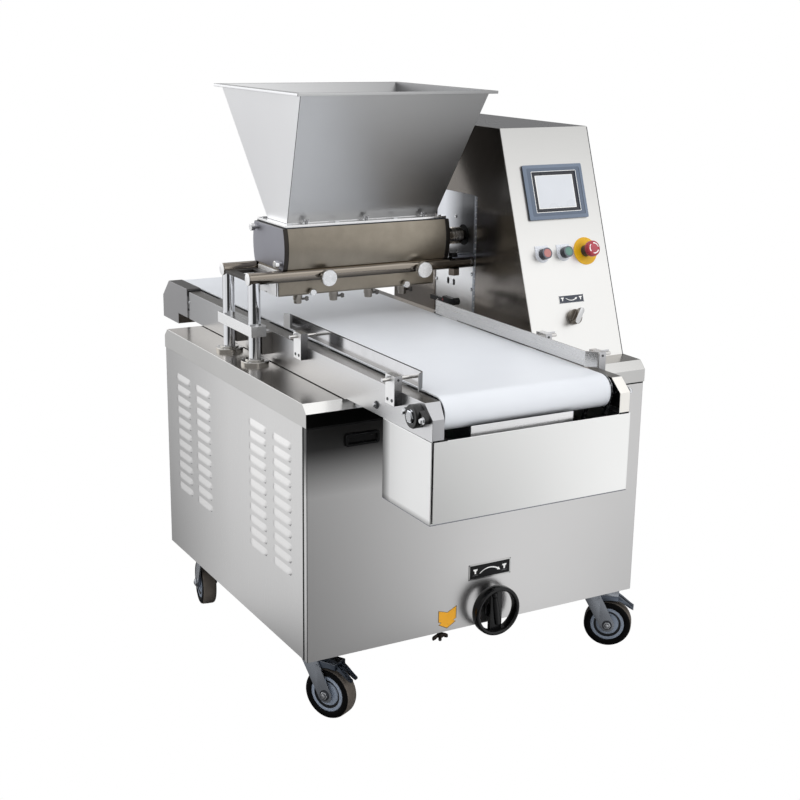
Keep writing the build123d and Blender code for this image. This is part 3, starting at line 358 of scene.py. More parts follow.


# Painted shade: the side sheets and louvre hoods darken toward the rear.
side_sheet_with_rear_shade = steel("side_panel_satin_painted_rear_shade", (222, 221, 220), 0.3, (220, 220, 3), 0.03, 0.03, 0.015, 1.6,
                   [("Y", 0.05, 0.5, 1.0, 0.72)])
# Painted shadow: a grey strip drawn just under each louvre's lower edge.
louvre_shadow_grey = coated("louvre_painted_shadow", (120, 120, 122), 0.6, 300, 0.1, 0.1)
# Painted shade: near black put in seams, gaps, bores and hollows where shade falls.
painted_shade_black = coated("painted_shade_black", (16, 16, 17), 0.7, 300, 0.1, 0.1, shine=0.2)
side_x, sheet_low, sheet_high = 465, 181, 760
left_way = Matrix(((0, 0, -1, 0), (-1, 0, 0, 0), (0, 1, 0, 0), (0, 0, 0, 1)))
right_way = Matrix(((0, 0, 1, 0), (1, 0, 0, 0), (0, 1, 0, 0), (0, 0, 0, 1)))
left_face = shift((-side_x, 0, 0)) @ left_way
right_face = shift((side_x, 0, 0)) @ right_way
bm = bmesh.new()
plate(bm, box(-484, 370, sheet_low, sheet_high), -2, 0, left_face, 0.6)
plate(bm, box(-370, 484, sheet_low, sheet_high), -2, 0, right_face, 0.6)
even(settle(bm, "side_sheets", side_sheet_with_rear_shade, "machine", ["side_panels"]))
piece("side_seam_shade_lines", painted_shade_black, "machine", "cast_dark",
      (plate, box(364.5, 371.5, sheet_low, sheet_high), -0.4, 0.06, left_face),
      (plate, box(-371.5, -364.5, sheet_low, sheet_high), -0.4, 0.06, right_face))


def reckon(tree, how, *values):
    # One step of arithmetic in a tree
    return put(tree, "ShaderNodeMath", dict(enumerate(values)), operation=how).outputs[0]


def opened(name, *labels):
    # A new tree that takes points, sizes and a finish
    tree = bpy.data.node_groups.new(name, "GeometryNodeTree")
    for way in ("OUTPUT", "INPUT"):
        tree.interface.new_socket("Geometry", in_out=way, socket_type="NodeSocketGeometry")
    for label in (*labels, "Material"):
        kind = {"Sides": "NodeSocketInt", "Material": "NodeSocketMaterial"}.get(label, "NodeSocketFloat")
        tree.interface.new_socket(label, in_out="INPUT", socket_type=kind)
    return tree, put(tree, "NodeGroupInput").outputs


def closed(tree, given, form, smooth=False):
    # The tree's end: the form stands on each point, turned to its facing, and takes the finish
    sided = put(tree, "GeometryNodeInputNamedAttribute", {"Name": "facing"}, data_type="FLOAT_VECTOR")
    turn = put(tree, "FunctionNodeEulerToRotation", {0: sided.outputs["Attribute"]}).outputs[0]
    row = put(tree, "GeometryNodeInstanceOnPoints", {"Points": given["Geometry"], "Instance": form, "Rotation": turn})
    real = put(tree, "GeometryNodeRealizeInstances", {"Geometry": row.outputs["Instances"]}).outputs["Geometry"]
    if smooth:
        real = put(tree, "GeometryNodeSetShadeSmooth", {"Geometry": real}).outputs["Geometry"]
    skinned = put(tree, "GeometryNodeSetMaterial", {"Geometry": real, "Material": given["Material"]})
    put(tree, "NodeGroupOutput", {"Geometry": skinned.outputs["Geometry"]})


def grown(tree, points, facings, sizes, name, body):
    # Runs a tree on points given in millimetres, each with its facing as three angles, and keeps a plain mesh
    seed = bpy.data.meshes.new(name)
    seed.from_pydata([tuple(v * 0.001 for v in p) for p in points], [], [])
    turn = seed.attributes.new("facing", "FLOAT_VECTOR", "POINT")
    for k, angles in enumerate(facings):
        turn.data[k].vector = angles
    made = bpy.data.objects.new(name, seed)
    bpy.context.scene.collection.objects.link(made)
    nodes = made.modifiers.new("grow", "NODES")
    nodes.node_group = tree
    inputs = [item for item in tree.interface.items_tree if item.in_out == "INPUT"]
    for item, value in zip(inputs[1:], sizes):
        nodes[item.identifier] = value
    baked(made)
    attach(made, body)
    return made


press, given = opened("pressed_louvre", "Length", "Height", "Rise")
half_h = reckon(press, "MULTIPLY", given["Height"], 0.5)
half_l = reckon(press, "MULTIPLY", given["Length"], 0.5)
blank = put(press, "GeometryNodeMeshGrid", {"Size X": given["Length"], "Size Y": given["Height"],
                                            "Vertices X": 21, "Vertices Y": 8})
at = axes(press, put(press, "GeometryNodeInputPosition").outputs[0])
v_share = reckon(press, "DIVIDE", at["Y"], half_h)
u_share = reckon(press, "DIVIDE", at["X"], half_l)
v_square = reckon(press, "MULTIPLY", v_share, v_share)
v_round = reckon(press, "SQRT", reckon(press, "SUBTRACT", 1.0, v_square))
short = reckon(press, "SUBTRACT", half_l, half_h)
u_new = reckon(press, "MULTIPLY", u_share, reckon(press, "MULTIPLY_ADD", half_h, v_round, short))
u_end = reckon(press, "POWER", reckon(press, "ABSOLUTE", u_share), 9.0)
end_fall = reckon(press, "SQRT", reckon(press, "SUBTRACT", 1.0, u_end))
lift_up = reckon(press, "MULTIPLY", span(press, v_share, 1.0, -0.9), end_fall)
rise = reckon(press, "MULTIPLY", lift_up, given["Rise"])
spot = put(press, "ShaderNodeCombineXYZ", {"X": u_new, "Y": at["Y"], "Z": rise})
hood = put(press, "GeometryNodeSetPosition", {"Geometry": blank.outputs["Mesh"], "Position": spot.outputs[0]})
closed(press, given, hood.outputs["Geometry"], True)
louvre_columns, louvre_rows, louvre_step = (-258, -122, 222, 358), 11, 30.3
lowest_louvre, lowest_shadow_strip, sunk = 374, 365.6, 0.1
louvre_spots, shadow_strip_spots, louvre_turns = [], [], []
for side, angles in ((-1, (pi / 2, 0, -pi / 2)), (1, (pi / 2, 0, pi / 2))):
    for y in louvre_columns:
        for step in range(louvre_rows):
            louvre_spots.append((side * (side_x - sunk), y, lowest_louvre + louvre_step * step))
            shadow_strip_spots.append((side * (side_x + sunk), y, lowest_shadow_strip + louvre_step * step))
            louvre_turns.append(angles)
grown(press, louvre_spots, louvre_turns, (0.1015, 0.0165, 0.0046, side_sheet_with_rear_shade), "louvre_hoods", "machine")
grown(press, shadow_strip_spots, louvre_turns, (0.09, 0.003, 0.0002, louvre_shadow_grey), "louvre_shadow_strips", "machine")


# Front and rear panels of the same sheet, the front one folded back at both sides as a shallow tray.
# Brushed across and left bare at the edges, a little darker than the sides, with painted shade at its upper left and on
# the fold faces at both sides.
front_satin = ((216, 215, 214), 0.33, (2, 220, 220), 0.02, 0.03, 0.006, 1.3)
# Painted shade: darker toward the top, fading out toward the right.
front_painted_shade = steel("front_panel_painted_shade", *front_satin, [("Z", 0.575, 0.685, 1.0, 0.14, "X", -0.27, -0.15)])
# Painted shade: dark tone for fold faces, bent noses and edge lines of sheets and rails.
edge_and_fold_shade = steel("edge_and_fold_painted_shade", (74, 74, 76), 0.3, (200, 200, 3), 0.03, 0.05)
remade(soften("front_panel", 0.3), "front_panel", "front_sheet", [front_painted_shade, edge_and_fold_shade], "machine",
       lambda n, at: 1 if 0.12 < abs(n.x) < 0.985 and n.y < -0.1 else 0)
dress("rear_panel", steel("front_panel_satin", *front_satin))


# Lid of the cabinet: one folded sheet with skirts, polished so that the columns mirror in it.
# Folded at the press brake and chamfered in front and behind; painted highlight on the chamfers, painted shade on the
# top toward the front, on the front skirt's left part and as dark lower rims.
across = (3, 130, 130)
skirt_satin = ((206, 205, 203), 0.32, across, 0.04, 0.03, 0.02, 3)
deck_finish = [
    steel("deck_polish_painted_front_shade", (206, 201, 194), 0.2, across, 0.05, 0.07, 0.02, 3, [("Y", -0.38, -0.02, 0.42, 1.0)]),
    steel("deck_skirt", *skirt_satin),
    steel("deck_fold_painted_highlight", (240, 239, 236), 0.24, across, 0.04, 0.02, 0.02, 3, [("X", -0.4, 0.46, 1.0, 0.74)]),
    coated("skirt_edge_painted_shade", (34, 34, 36), 0.6, 300, 0.1, 0.1),
    steel("deck_skirt_front_painted_shade", *skirt_satin, [("X", -0.28, 0.1, 0.03, 1.0)])]


def deck_pick(n, at):
    # Lower rims painted dark as shade, front skirt with painted shade, other skirts, chamfers with painted highlight
    # and the flat top with painted shade toward the front
    if n.z < -0.9 and at.z < skirt_low:
        return 3
    if n.y < -0.9:
        return 4
    return 1 if abs(n.x) > 0.9 or n.y > 0.9 else 2 if 0.3 < n.z < 0.97 else 0


skirt_low, lid_rise = 745, 3.6
bm = soften("deck", 1.6)
for vert in bm.verts:
    if vert.co.z > skirt_low:
        vert.co.z += lid_rise
remade(bm, "deck", "deck_lid", deck_finish, "machine", deck_pick)
# Painted shade: a black strip under the deck's front skirt.
piece("skirt_shadow_gap", painted_shade_black, "machine", "cast_dark", (plate, box(-464, 464, -386.2, -385.6), 734.4, 738.4))


# Flush pulls in the front panel: a black moulded frame with a finger recess and a latch bar in it.
# Pushed into a cut-out from the front and held by their own spring lugs.
latch_black = coated("latch_black", (10, 10, 11), 0.45, 380, 0.12, 0.15, shine=0.25)
front_face = shift((0, -386, 0)) @ front_way


def rounded(u0, u1, v0, v1, radius, steps=5):
    # Points of a rectangle with round corners
    points = []
    for u, v, start in ((u1 - radius, v1 - radius, 0), (u0 + radius, v1 - radius, 90),
                        (u0 + radius, v0 + radius, 180), (u1 - radius, v0 + radius, 270)):
        for k in range(steps + 1):
            a = radians(start + 90 * k / steps)
            points.append((u + radius * cos(a), v + radius * sin(a)))
    return points


def ringed(bm, rows, place, index=0):
    # A closed ring from outlines of the same number of points, each at its own height
    loops = []
    for outline, height in rows:
        loops.append([bm.verts.new(place @ Vector((u, v, height))) for u, v in outline])
    for first, second in zip(loops, loops[1:] + loops[:1]):
        for k in range(len(first)):
            n = (k + 1) % len(first)
            bm.faces.new((first[k], first[n], second[n], second[k])).material_index = index


def pull_row(inset_u, inset_v, radius):
    # A pull's outline, drawn in from its short and its long sides
    return rounded(left + inset_u, left + pull_wide - inset_u, pull_low + inset_v, pull_high - inset_v, radius)


pull_wide, pull_low, pull_high, pull_wall, pull_top = 86, 684, 712, 4.5, 6
bm = bmesh.new()
for left in (-371, 285):
    outer, inner = pull_row(0, 0, 6), pull_row(7, 6, 2)
    ringed(bm, [(outer, 0), (outer, pull_wall), (pull_row(1.5, 1.5, 5), pull_top), (pull_row(6, 5, 3), pull_top),
                (inner, pull_wall), (inner, 0)], front_face)
    plate(bm, inner, 0.2, 1.4, front_face)
    plate(bm, rounded(left + 52, left + 77, 691, 705, 1.5), 1.2, 1.45, front_face)
settle(bm, "flush_pulls", latch_black, "machine", ["panel_pulls"])


# Pictogram plate over the handwheel: anodised plate, black printed face, turning arrow and two nozzles.
# Fixed with four small pins; a smaller plate of the same kind sits above the grip knob on the tower.
plate_alloy = steel("plate_alloy", (200, 200, 198), 0.32, (3, 300, 300), 0.05)
print_black = coated("print_black", (8, 8, 9), 0.35, 600, 0.05, 0.1, shine=0.2)
print_white = coated("print_white", (236, 236, 234), 0.45, 600, 0.05, 0.03)
line_grey = coated("line_grey", (120, 120, 122), 0.45, 600, 0.05, 0.05)


def arc_band(centre, radius, start, stop, wide_start, wide_stop, steps=18):
    # Outline of a bent stroke between two angles, with its own width at each end
    outer, inner = [], []
    for k in range(steps + 1):
        a = radians(start + (stop - start) * k / steps)
        half = (wide_start + (wide_stop - wide_start) * k / steps) / 2
        outer.append((centre[0] + (radius + half) * cos(a), centre[1] + (radius + half) * sin(a)))
        inner.append((centre[0] + (radius - half) * cos(a), centre[1] + (radius - half) * sin(a)))
    return outer + inner[::-1]


def pictogram(name, place, wide, high, rim, bend, bow, sag, foot, apart, size, finishes, slots):
    # Plate, dark face, a bow that rises or hangs with an arrow head, and a funnel over a thin line on each side
    half, tall = wide / 2, high / 2
    base, face, signs, lines = [bmesh.new() for k in range(4)]
    plate(base, rounded(-half, half, -tall, tall, 0.8), 0, 0.9, place, 0.2)
    plate(face, rounded(-half + rim, half - rim, -tall + rim, tall - rim, 0.6), 0.85, 1.05, place)
    for u in (-half + 1.4 * size, half - 1.4 * size):
        for v in (-tall + 1.4 * size, tall - 1.4 * size):
            turned(face, [(0, 1.5), (0.9 * size, 1.4), (1.4 * size, 0.85)], place @ shift((u, v, 0)), 10)
    radius = (bow * bow + sag * sag) / (2 * sag)
    centre = (0, foot + bend * (sag - radius))
    open_half = asin(bow / radius) * 180 / pi
    head_turn = 8 * size / radius * 180 / pi
    start = bend * (90 + open_half)
    stop = bend * (90 - open_half + head_turn)
    plate(signs, arc_band(centre, radius, start, stop, 1.5 * size, 3.4 * size), 1.0, 1.2, place)
    a = radians(stop)
    out = Vector((cos(a), sin(a)))
    tip = Vector(centre) + out * radius
    go = Vector((sin(a), -cos(a))) * bend
    head = [tip + out * 4.2 * size, tip + go * 8.5 * size, tip - out * 4.2 * size]
    plate(signs, [tuple(p) for p in head], 1.0, 1.2, place)
    funnel = ((-6, 7), (-6, 4.6), (-2.2, 1), (-2, -5), (2, -5), (2.2, 1), (6, 4.6), (6, 7))
    stroke = box(-7.5, 7.5, -9, -8.2)
    for u in (-apart, apart):
        plate(signs, [(u + du * size, dv * size) for du, dv in funnel], 1.0, 1.2, place)
        plate(lines, [(u + du * size, dv * size) for du, dv in stroke], 1.0, 1.15, place)
    layers = {"_plate": base, "_face": face, "_signs": signs, "_lines": lines}
    for (label, bm), finish, slot in zip(layers.items(), finishes, slots):
        settle(bm, name + label, finish, "machine")


pictogram("wheel_pictogram", front_face @ shift((24.8, 319, 0)), 120.5, 40, 3.4, 1, 29, 11.5, -6, 41.5, 1.0,
          (plate_alloy, print_black, print_white, line_grey),
          ("block_alloy", "black_plastic", "belt_white", "grey_plastic"))


# Yellow arrow tag beside the stud: a die-cut foil stuck on, notched above, its tip pointing down at the stud.
# Printed golden yellow with a thin dark rim line; its face is left blank.
foil_yellow = coated("foil_yellow", (232, 164, 6), 0.42, 500, 0.04, 0.04)
foil_rim = coated("foil_rim", (92, 78, 46), 0.45, 500, 0.04, 0.1)
tag = [(-118, 238), (-92.5, 230), (-67, 243), (-67, 211), (-75, 206.5), (-68, 202.5), (-93, 188), (-117, 200.5),
       (-110, 205), (-118, 208)]
tag_inner = [(-92.5 + (u + 92.5) * 0.93, 216 + (v - 216) * 0.93) for u, v in tag]
piece("arrow_tag_rim", foil_rim, "machine", "base_plastic", (plate, tag, 0, 0.35, front_face))
piece("arrow_tag_face", foil_yellow, "machine", "base_plastic", (plate, tag_inner, 0.3, 0.5, front_face))


# Earth stud under the front rail: a threaded stud with a collar nut and a wing nut.
# Zinc plated steel, welded into the rail and coloured a dark brown-grey.
def wings(bm, outline, half, place, edge):
    # Both wings of a wing nut from the outline of the right one
    for side in (-1, 1):
        wing = [(side * u, v) for u, v in outline]
        plate(bm, wing if side > 0 else wing[::-1], -half, half, place @ front_way, edge)


stud = shift((-98, -364, 0))
pitch = 1.25
stud_dark_zinc = steel("stud_dark_zinc", (62, 56, 52), 0.42, 80, 0.08, 0.12, 0.05, 40)
piece("earth_stud_nut", stud_dark_zinc, "machine", "zinc_steel",
      (turned, [(0, 148), (3.2, 148), (4, 149), (4, 181), (0, 181)], stud, 20),
      *[(turned, [(3.9, 149.5 + k * pitch), (4.15, 150 + k * pitch), (3.9, 150.5 + k * pitch)], stud, 20)
        for k in range(7)],
      (turned, [(4, 158), (7.4, 158), (8, 159), (7.2, 168), (6, 169), (4, 169)], stud, 24),
      (turned, box(0, 7, 176, 181), stud, 6),
      (wings, [(5, 159), (14, 153.5), (20, 152), (22, 155), (21.5, 161), (17, 164), (5, 169)], 1.5, stud, 0.6),
      nodes=["earth_stud"])


# Handwheel of the belt lift: one moulded form of rim, bar and dished hub on a steel shaft.
# Glossy black phenolic, its grip lying in the bar; the shaft runs back to the gearbox.
phenolic = coated("phenolic_black", (4, 4, 5), 0.2, 300, 0.03, 0.2, 0.12, 0.3)
wheel_middle = (27, -416, 223)
wheel = along((0, -1, 0), wheel_middle)
upright = shift(wheel_middle) @ front_way
grip = upright @ Matrix.Rotation(radians(8), 4, "Z") @ along((0, 1, 0))
rim = []
for k in range(20):
    a = 2 * pi * k / 20
    rim.append((56.75 + 5.75 * copysign(abs(cos(a)) ** 0.6, cos(a)), 13 * copysign(abs(sin(a)) ** 0.6, sin(a))))
piece("handwheel_moulding", phenolic, "handwheel", "gloss_black",
      (turned, rim, wheel, 72, True),
      (turned, [(0, -24), (14, -24), (24, -11), (24, -9), (0, -9)], wheel, 40),
      (plate, rounded(-16, 16, -53, 53, 4), -11, 1.5, upright, 1.5),
      (turned, [(0, -38), (6, -38), (8, -36), (9, -20), (8.4, 10), (6.5, 34), (4, 36), (0, 36)], grip, 28),
      (turned, [(0, 36), (7, 36), (8, 38), (8, 45), (6.5, 47), (0, 47)], grip, 24), nodes=["handwheel"], smooth=40)
piece("handwheel_shaft", drawn_bar, "handwheel", "zinc_steel",
      (turned, box(0, 8, -437.5, -22), wheel, 32))


# Two columns on the left with their deck flanges, two carrying bars and the slotted tie plate above them.
# Hard chromed guide shafts and ground bars; flanges turned in two steps and screwed to the deck.
def lathe_marks(name, colour, rough, depth=0.12):
    # Turned metal: fine rings about the axis, read from each point's own distance to it
    made, tree, skin, spot = bare(name)
    metal = tone(*colour)
    far = put(tree, "ShaderNodeAttribute", attribute_name="reach").outputs["Fac"]
    wave = reckon(tree, "SINE", reckon(tree, "MULTIPLY", far, 2.4))
    gloss = noise(tree, spot, 60.0, 2.0)
    feed(tree, skin, {
        "Base Color": mottled(tree, spot, 40.0, shade(metal, 0.9), shade(metal, 1.06)),
        "Roughness": span(tree, gloss, 0.0, 1.0, max(0.03, rough - 0.06), rough + 0.06),
        "Normal": relief(tree, wave, depth, 0.0003), "Metallic": 1.0})
    return made


chrome = steel("hard_chrome", (226, 227, 230), 0.07, (30, 30, 2), 0.02, 0.03, 0.01, 8)
# Painted shade: the carrying bars darken toward their undersides.
bar_steel = steel("ground_bar_painted_under_shade", (148, 140, 130), 0.13, (2, 90, 90), 0.04, 0.06, 0.03, 6,
                  [("Z", 0.985, 0.998, 0.28, 1.0)])
roller_dark = steel("feed_roller_steel", (150, 142, 132), 0.17, (2, 90, 90), 0.05, 0.06, 0.03, 6)
# Painted light: near white steel for faces turned to the left, bar ends, block end cover, rivets, rail wings and clamp
# sides.
lit_left_bright = steel("left_face_painted_light", (252, 252, 252), 0.5, 90, 0.06, 0.02, 0.03, 30)
turned_steel = lathe_marks("turned_steel", (190, 187, 182), 0.18)
# Painted shade: the tie plate is coloured dark for the shade it lies in.
tie_plate_shaded = steel("tie_plate_painted_shade", (78, 75, 72), 0.4, (3, 120, 120), 0.05)
column_x, column_rows = -410, (14, 172)
dress("guide_columns", chrome)
dress("head_bars", bar_steel)
flange = [(15.05, 786.5), (34, 786.5), (34, 798), (33, 799), (24, 799.2), (23.4, 799.8), (23.4, 802), (22.6, 802.8),
          (16.2, 802.8), (15.05, 801.8)]
guide_bush = [(10.05, 754.5), (24, 754.5), (25, 755.5), (25, 784.5), (10.05, 784.5)]
piece("column_flanges", turned_steel, "machine", "bright_steel",
      *[(turned, flange, shift((column_x, y, 0)), 64, True) for y in column_rows],
      *[(turned, guide_bush, shift((x, 50, 0)), 40, True) for x in (-354.5, 108.5)], nodes=["deck_flanges"])
bar_end = [(0, 426.8), (14.6, 426.8), (14.4, 427.3), (12.8, 427.9), (0, 427.9)]
piece("bar_end_faces", lit_left_bright, "machine", "bright_steel",
      *[(turned, bar_end, along((-1, 0, 0), (0, y, 997)), 40) for y in column_rows])
remade(soften("bar_tie_plate", 0.8), "bar_tie_plate", "tie_plate", tie_plate_shaded, "machine")


# Screws of every size come from one tree: a washer, a head with a chamfered top, six-sided or round.
# They are the bought-in fasteners of the whole machine, bright zinc plated or stainless.
def cone(tree, sides, top, bottom, deep):
    # A round or many-sided form with its own width at each end
    feeds = {"Vertices": sides, "Radius Top": top, "Radius Bottom": bottom, "Depth": deep}
    return put(tree, "GeometryNodeMeshCone", feeds).outputs["Mesh"]


def moved(tree, form, **way):
    # A form shifted or stretched along its axes
    feeds = {key: put(tree, "ShaderNodeCombineXYZ", parts).outputs[0] for key, parts in way.items()}
    return put(tree, "GeometryNodeTransform", {"Geometry": form, **feeds}).outputs["Geometry"]


def joined(tree, *forms):
    # Several forms as one
    whole = put(tree, "GeometryNodeJoinGeometry")
    for form in forms:
        tree.links.new(form, whole.inputs[0])
    return whole.outputs["Geometry"]


bolt, given = opened("screw_head", "Head Radius", "Head Height", "Sides", "Washer Radius")
head, washer = given["Head Radius"], given["Washer Radius"]
straight = reckon(bolt, "MULTIPLY", given["Head Height"], 0.75)
cap_deep = reckon(bolt, "MULTIPLY", given["Head Height"], 0.25)
cap = cone(bolt, given["Sides"], reckon(bolt, "MULTIPLY", head, 0.82), head, cap_deep)
closed(bolt, given, joined(bolt, cone(bolt, given["Sides"], head, head, straight),
                           moved(bolt, cap, Translation={"Z": straight}), cone(bolt, 20, washer, washer, 0.0009)))
UP, FRONT, LEFT, RIGHT = (0, 0, 0), (pi / 2, 0, 0), (0, -pi / 2, 0), (0, pi / 2, 0)


def screws(name, spots, facing, radius, height, sides, washer, body, slot, material=bright_bolt):
    # Heads at points in millimetres that all face one way
    sizes = (radius * 0.001, height * 0.001, sides, washer * 0.001, material)
    grown(bolt, spots, [facing] * len(spots), sizes, name, body)


flange_screws = []
for y in column_rows:
    for k in range(4):
        a = radians(45 + 90 * k)
        flange_screws.append((column_x + 29.6 * cos(a), y + 29.6 * sin(a), 798.4))
screws("flange_screws", flange_screws, UP, 2.6, 1.6, 16, 3.0, "machine", "bright_steel")


# Depositing head: bulged housing round the feed rollers, thick end plates, and the nozzle block hung below it.
# Housing and block of milled alloy with a champagne anodised tint, painted darker at the left and lighter at the right
# as shade and light; end plates grey with painted shade on their edges.
head_tint_shaded = steel("head_champagne_painted_shading", (152, 144, 131), 0.32, 150, 0.05, 0.07, 0.03, 30, [("X", -0.33, 0.12, 0.76, 1.18)])
end_grey = steel("end_plate_grey", (150, 150, 157), 0.42, 120, 0.05, 0.05, 0.03, 6)
# Painted shade: the end plates' edges and rims take a dark copy of their steel.
plate_rim_shade = steel("end_plate_edge_painted_shade", (60, 57, 54), 0.34, 120, 0.05, 0.06, 0.03, 6)
sleeve_steel = lathe_marks("sleeve_steel", (204, 196, 185), 0.24, 0.03)
feed_axis = along((1, 0, 0), (0, 56, 1060))
remade(soften("head_housing", 1.0), "head_housing", "housing_body", head_tint_shaded, "machine")
remade(soften("head_end_plates", 2.2), "head_end_plates", "housing_end_plates", [end_grey, plate_rim_shade], "machine",
       lambda n, at: 0 if abs(n.x) > 0.8 else 1)
remade(soften("nozzle_block", 1.0), "nozzle_block", "nozzle_block_body", head_tint_shaded, "machine")
dress("feed_roller_front", roller_dark)
dress("feed_roller_rear", roller_dark)
sleeve = [(12.6, 129), (20, 129), (22, 131), (22, 139), (20.6, 140), (20.6, 166), (22, 167), (22, 181), (20, 183),
          (12.6, 183)]
piece("feed_shaft_sleeve", sleeve_steel, "feed_roller_front", "feed_steel", (turned, sleeve, feed_axis, 48, True))


# Nozzles with their wing screws, clamp knobs on the front bar and thumb screws of the block and end plate.
# Turned stainless, faces finished on the lathe; the wing screws of the nozzles take a darker knurled finish.
knob_face = lathe_marks("knob_face", (240, 240, 240), 0.24)
knurl = steel("knurled_side", (112, 110, 108), 0.4, 400, 0.1, 0.15, 0.25, 120)
nozzle_steel = lathe_marks("nozzle_steel", (162, 156, 148), 0.2)
nozzle_row, nozzle_y, wing_z = (-258, -158, -58, 42), 93, 921
spout = [(7.5, 911), (9.2, 911), (9.8, 911.8), (10.4, 919), (11.8, 921.5), (11.8, 941.8), (11, 942.9), (7.5, 942.9)]
piece("nozzle_spouts", nozzle_steel, "machine", "bright_steel",
      *[(turned, spout, shift((x, nozzle_y, 0)), 36, True) for x in nozzle_row], nodes=["nozzles"])
clamp_knob = [(0, 0.9), (9, 0.9), (9, 7), (19.2, 7), (20.3, 8.2), (20.3, 20.4), (19, 21.9), (0, 22)]
block_screw = [(0, -33), (4, -33), (4, -28), (7.6, -28), (8.5, -27), (8.5, -18), (7.5, -17), (0, -17)]
plate_screw = [(0, 336), (5, 336), (5, 342), (8.2, 342), (9, 343), (9, 352), (8, 353), (0, 353)]
wing_shank = box(0, 3, 10, 21)
wing_leaf = [(20, -2.5), (23, -6), (27, -6), (31, -4), (29, 0), (31, 3.5), (27, 6), (23, 6), (20, 2.5)]
bm = bmesh.new()
for x in (-225, 44):
    turned(bm, clamp_knob, along((0, -1, 0), (x, 0, 991)), 56)
for x in (-250, 14):
    turned(bm, block_screw, along((0, -1, 0), (x, 0, 950)), 32)
for y, z in ((23, 1026), (163, 1098)):
    turned(bm, plate_screw, along((-1, 0, 0), (0, y, z)), 32)
knob_faces = len(bm.faces)
for x in nozzle_row:
    turned(bm, wing_shank, along((1, 0, 0), (x, nozzle_y, wing_z)), 16)
    plate(bm, wing_leaf, -1.5, 1.5, shift((x, nozzle_y, wing_z)) @ front_way, 0.5)
bm.faces.ensure_lookup_table()
for face in bm.faces[knob_faces:]:
    face.material_index = 1
settle(bm, "hand_screw_set", [knob_face, knurl], "machine", ["hand_screws"])


# Ledge bracket on the front bar beside the drive plate, and the angle at the left end of the block, painted near white
# as light.
# Small bent and milled parts, screwed on.
ledge_steel = steel("ledge_steel", (156, 160, 172), 0.36, 90)
clamp_nut = steel("clamp_nut_steel", (150, 140, 130), 0.3, 90)
block_end = shift((-336.1, 0, 0)) @ left_way
piece("bar_ledge", ledge_steel, "machine", "bar_steel",
      (plate, rounded(150, 199, -6, 20, 2), 1012.4, 1019, laid, 0.8),
      (plate, rounded(134, 199, -7, 0, 2), 1012.2, 1014.5, laid, 0.4))
piece("ledge_stop", latch_black, "machine", "black_plastic",
      (plate, rounded(134, 150, -2, 16, 2), 1012.4, 1024, laid, 0.8))
piece("bar_clamp_nut", clamp_nut, "machine", "bar_steel",
      (turned, [(0, 965), (14, 965), (15.5, 966.5), (15.5, 982.4), (0, 982.4)], shift((150, 14, 0)), 6))
cover = [(-148, 946), (-108, 944), (-106, 949), (-97, 949), (-95, 944), (-36, 944), (-36, 1008), (-148, 1008)]
piece("block_end_cover", lit_left_bright, "machine", "bright_steel", (plate, cover, 0, 4, block_end, 0.8))
# The dark strip laid along the end cover's edge is painted shade.
piece("block_end_screw", cast_dark, "machine", "cast_dark",
      (turned, [(0, 340), (7, 340), (7, 344), (6, 345), (0, 345)], along((-1, 0, 0), (0, 92, 972)), 24),
      (plate, box(-40, -36.2, 944.5, 1007), 3.9, 4.15, block_end))
end_knob = [(0, 344), (3.4, 344), (3.4, 354), (6.4, 354), (7, 355), (7, 360), (6, 361), (0, 361)]
piece("block_end_knob", knob_face, "machine", "bright_steel", (turned, end_knob, along((-1, 0, 0), (0, 122, 962)), 24))


# Hopper: four sheets welded along the corners, a folded lip round the rim and a polished flange below.
# Bead-blasted satin outside, the left sheet painted lighter as light, the other sheets with painted shade toward the
# right and the inner faces painted darker as shade; on a dark rubber seal, held down with wing nuts between short
# clips.
down = (160, 160, 3)
hopper_finish = [
    steel("hopper_satin_painted_shade", (212, 212, 212), 0.36, down, 0.03, 0.03, 0.015, 2, [("X", -0.3, 0.14, 0.92, 0.52)]),
    steel("flange_polish", (235, 235, 235), 0.15, (3, 160, 160), 0.04, 0.03, 0.02, 4),
    steel("hopper_left_painted_light", (244, 244, 245), 0.36, down, 0.03, 0.03, 0.015, 2),
    steel("hopper_inside_painted_shade", (150, 150, 151), 0.4, down, 0.03, 0.05, 0.015, 2),
    steel("hopper_corner_weld", (96, 96, 98), 0.42, 160, 0.06, 0.1, 0.05, 60)]
wing_steel = steel("wing_nut_steel", (176, 176, 178), 0.22, 90)
flange_top, flange_rows = 1120, (20.5, 165.5)


def hopper_pick(n, at):
    # Flange, inner faces with painted shade, left corner weld, left sheet with painted light, and the other sheets with
    # painted shade toward the right
    if at.z < flange_top + 0.6:
        return 1
    if n.x < -0.5 and n.z > 0.05:
        return 3
    return 4 if n.x < -0.3 and n.y < -0.3 else 2 if n.x < -0.5 else 0


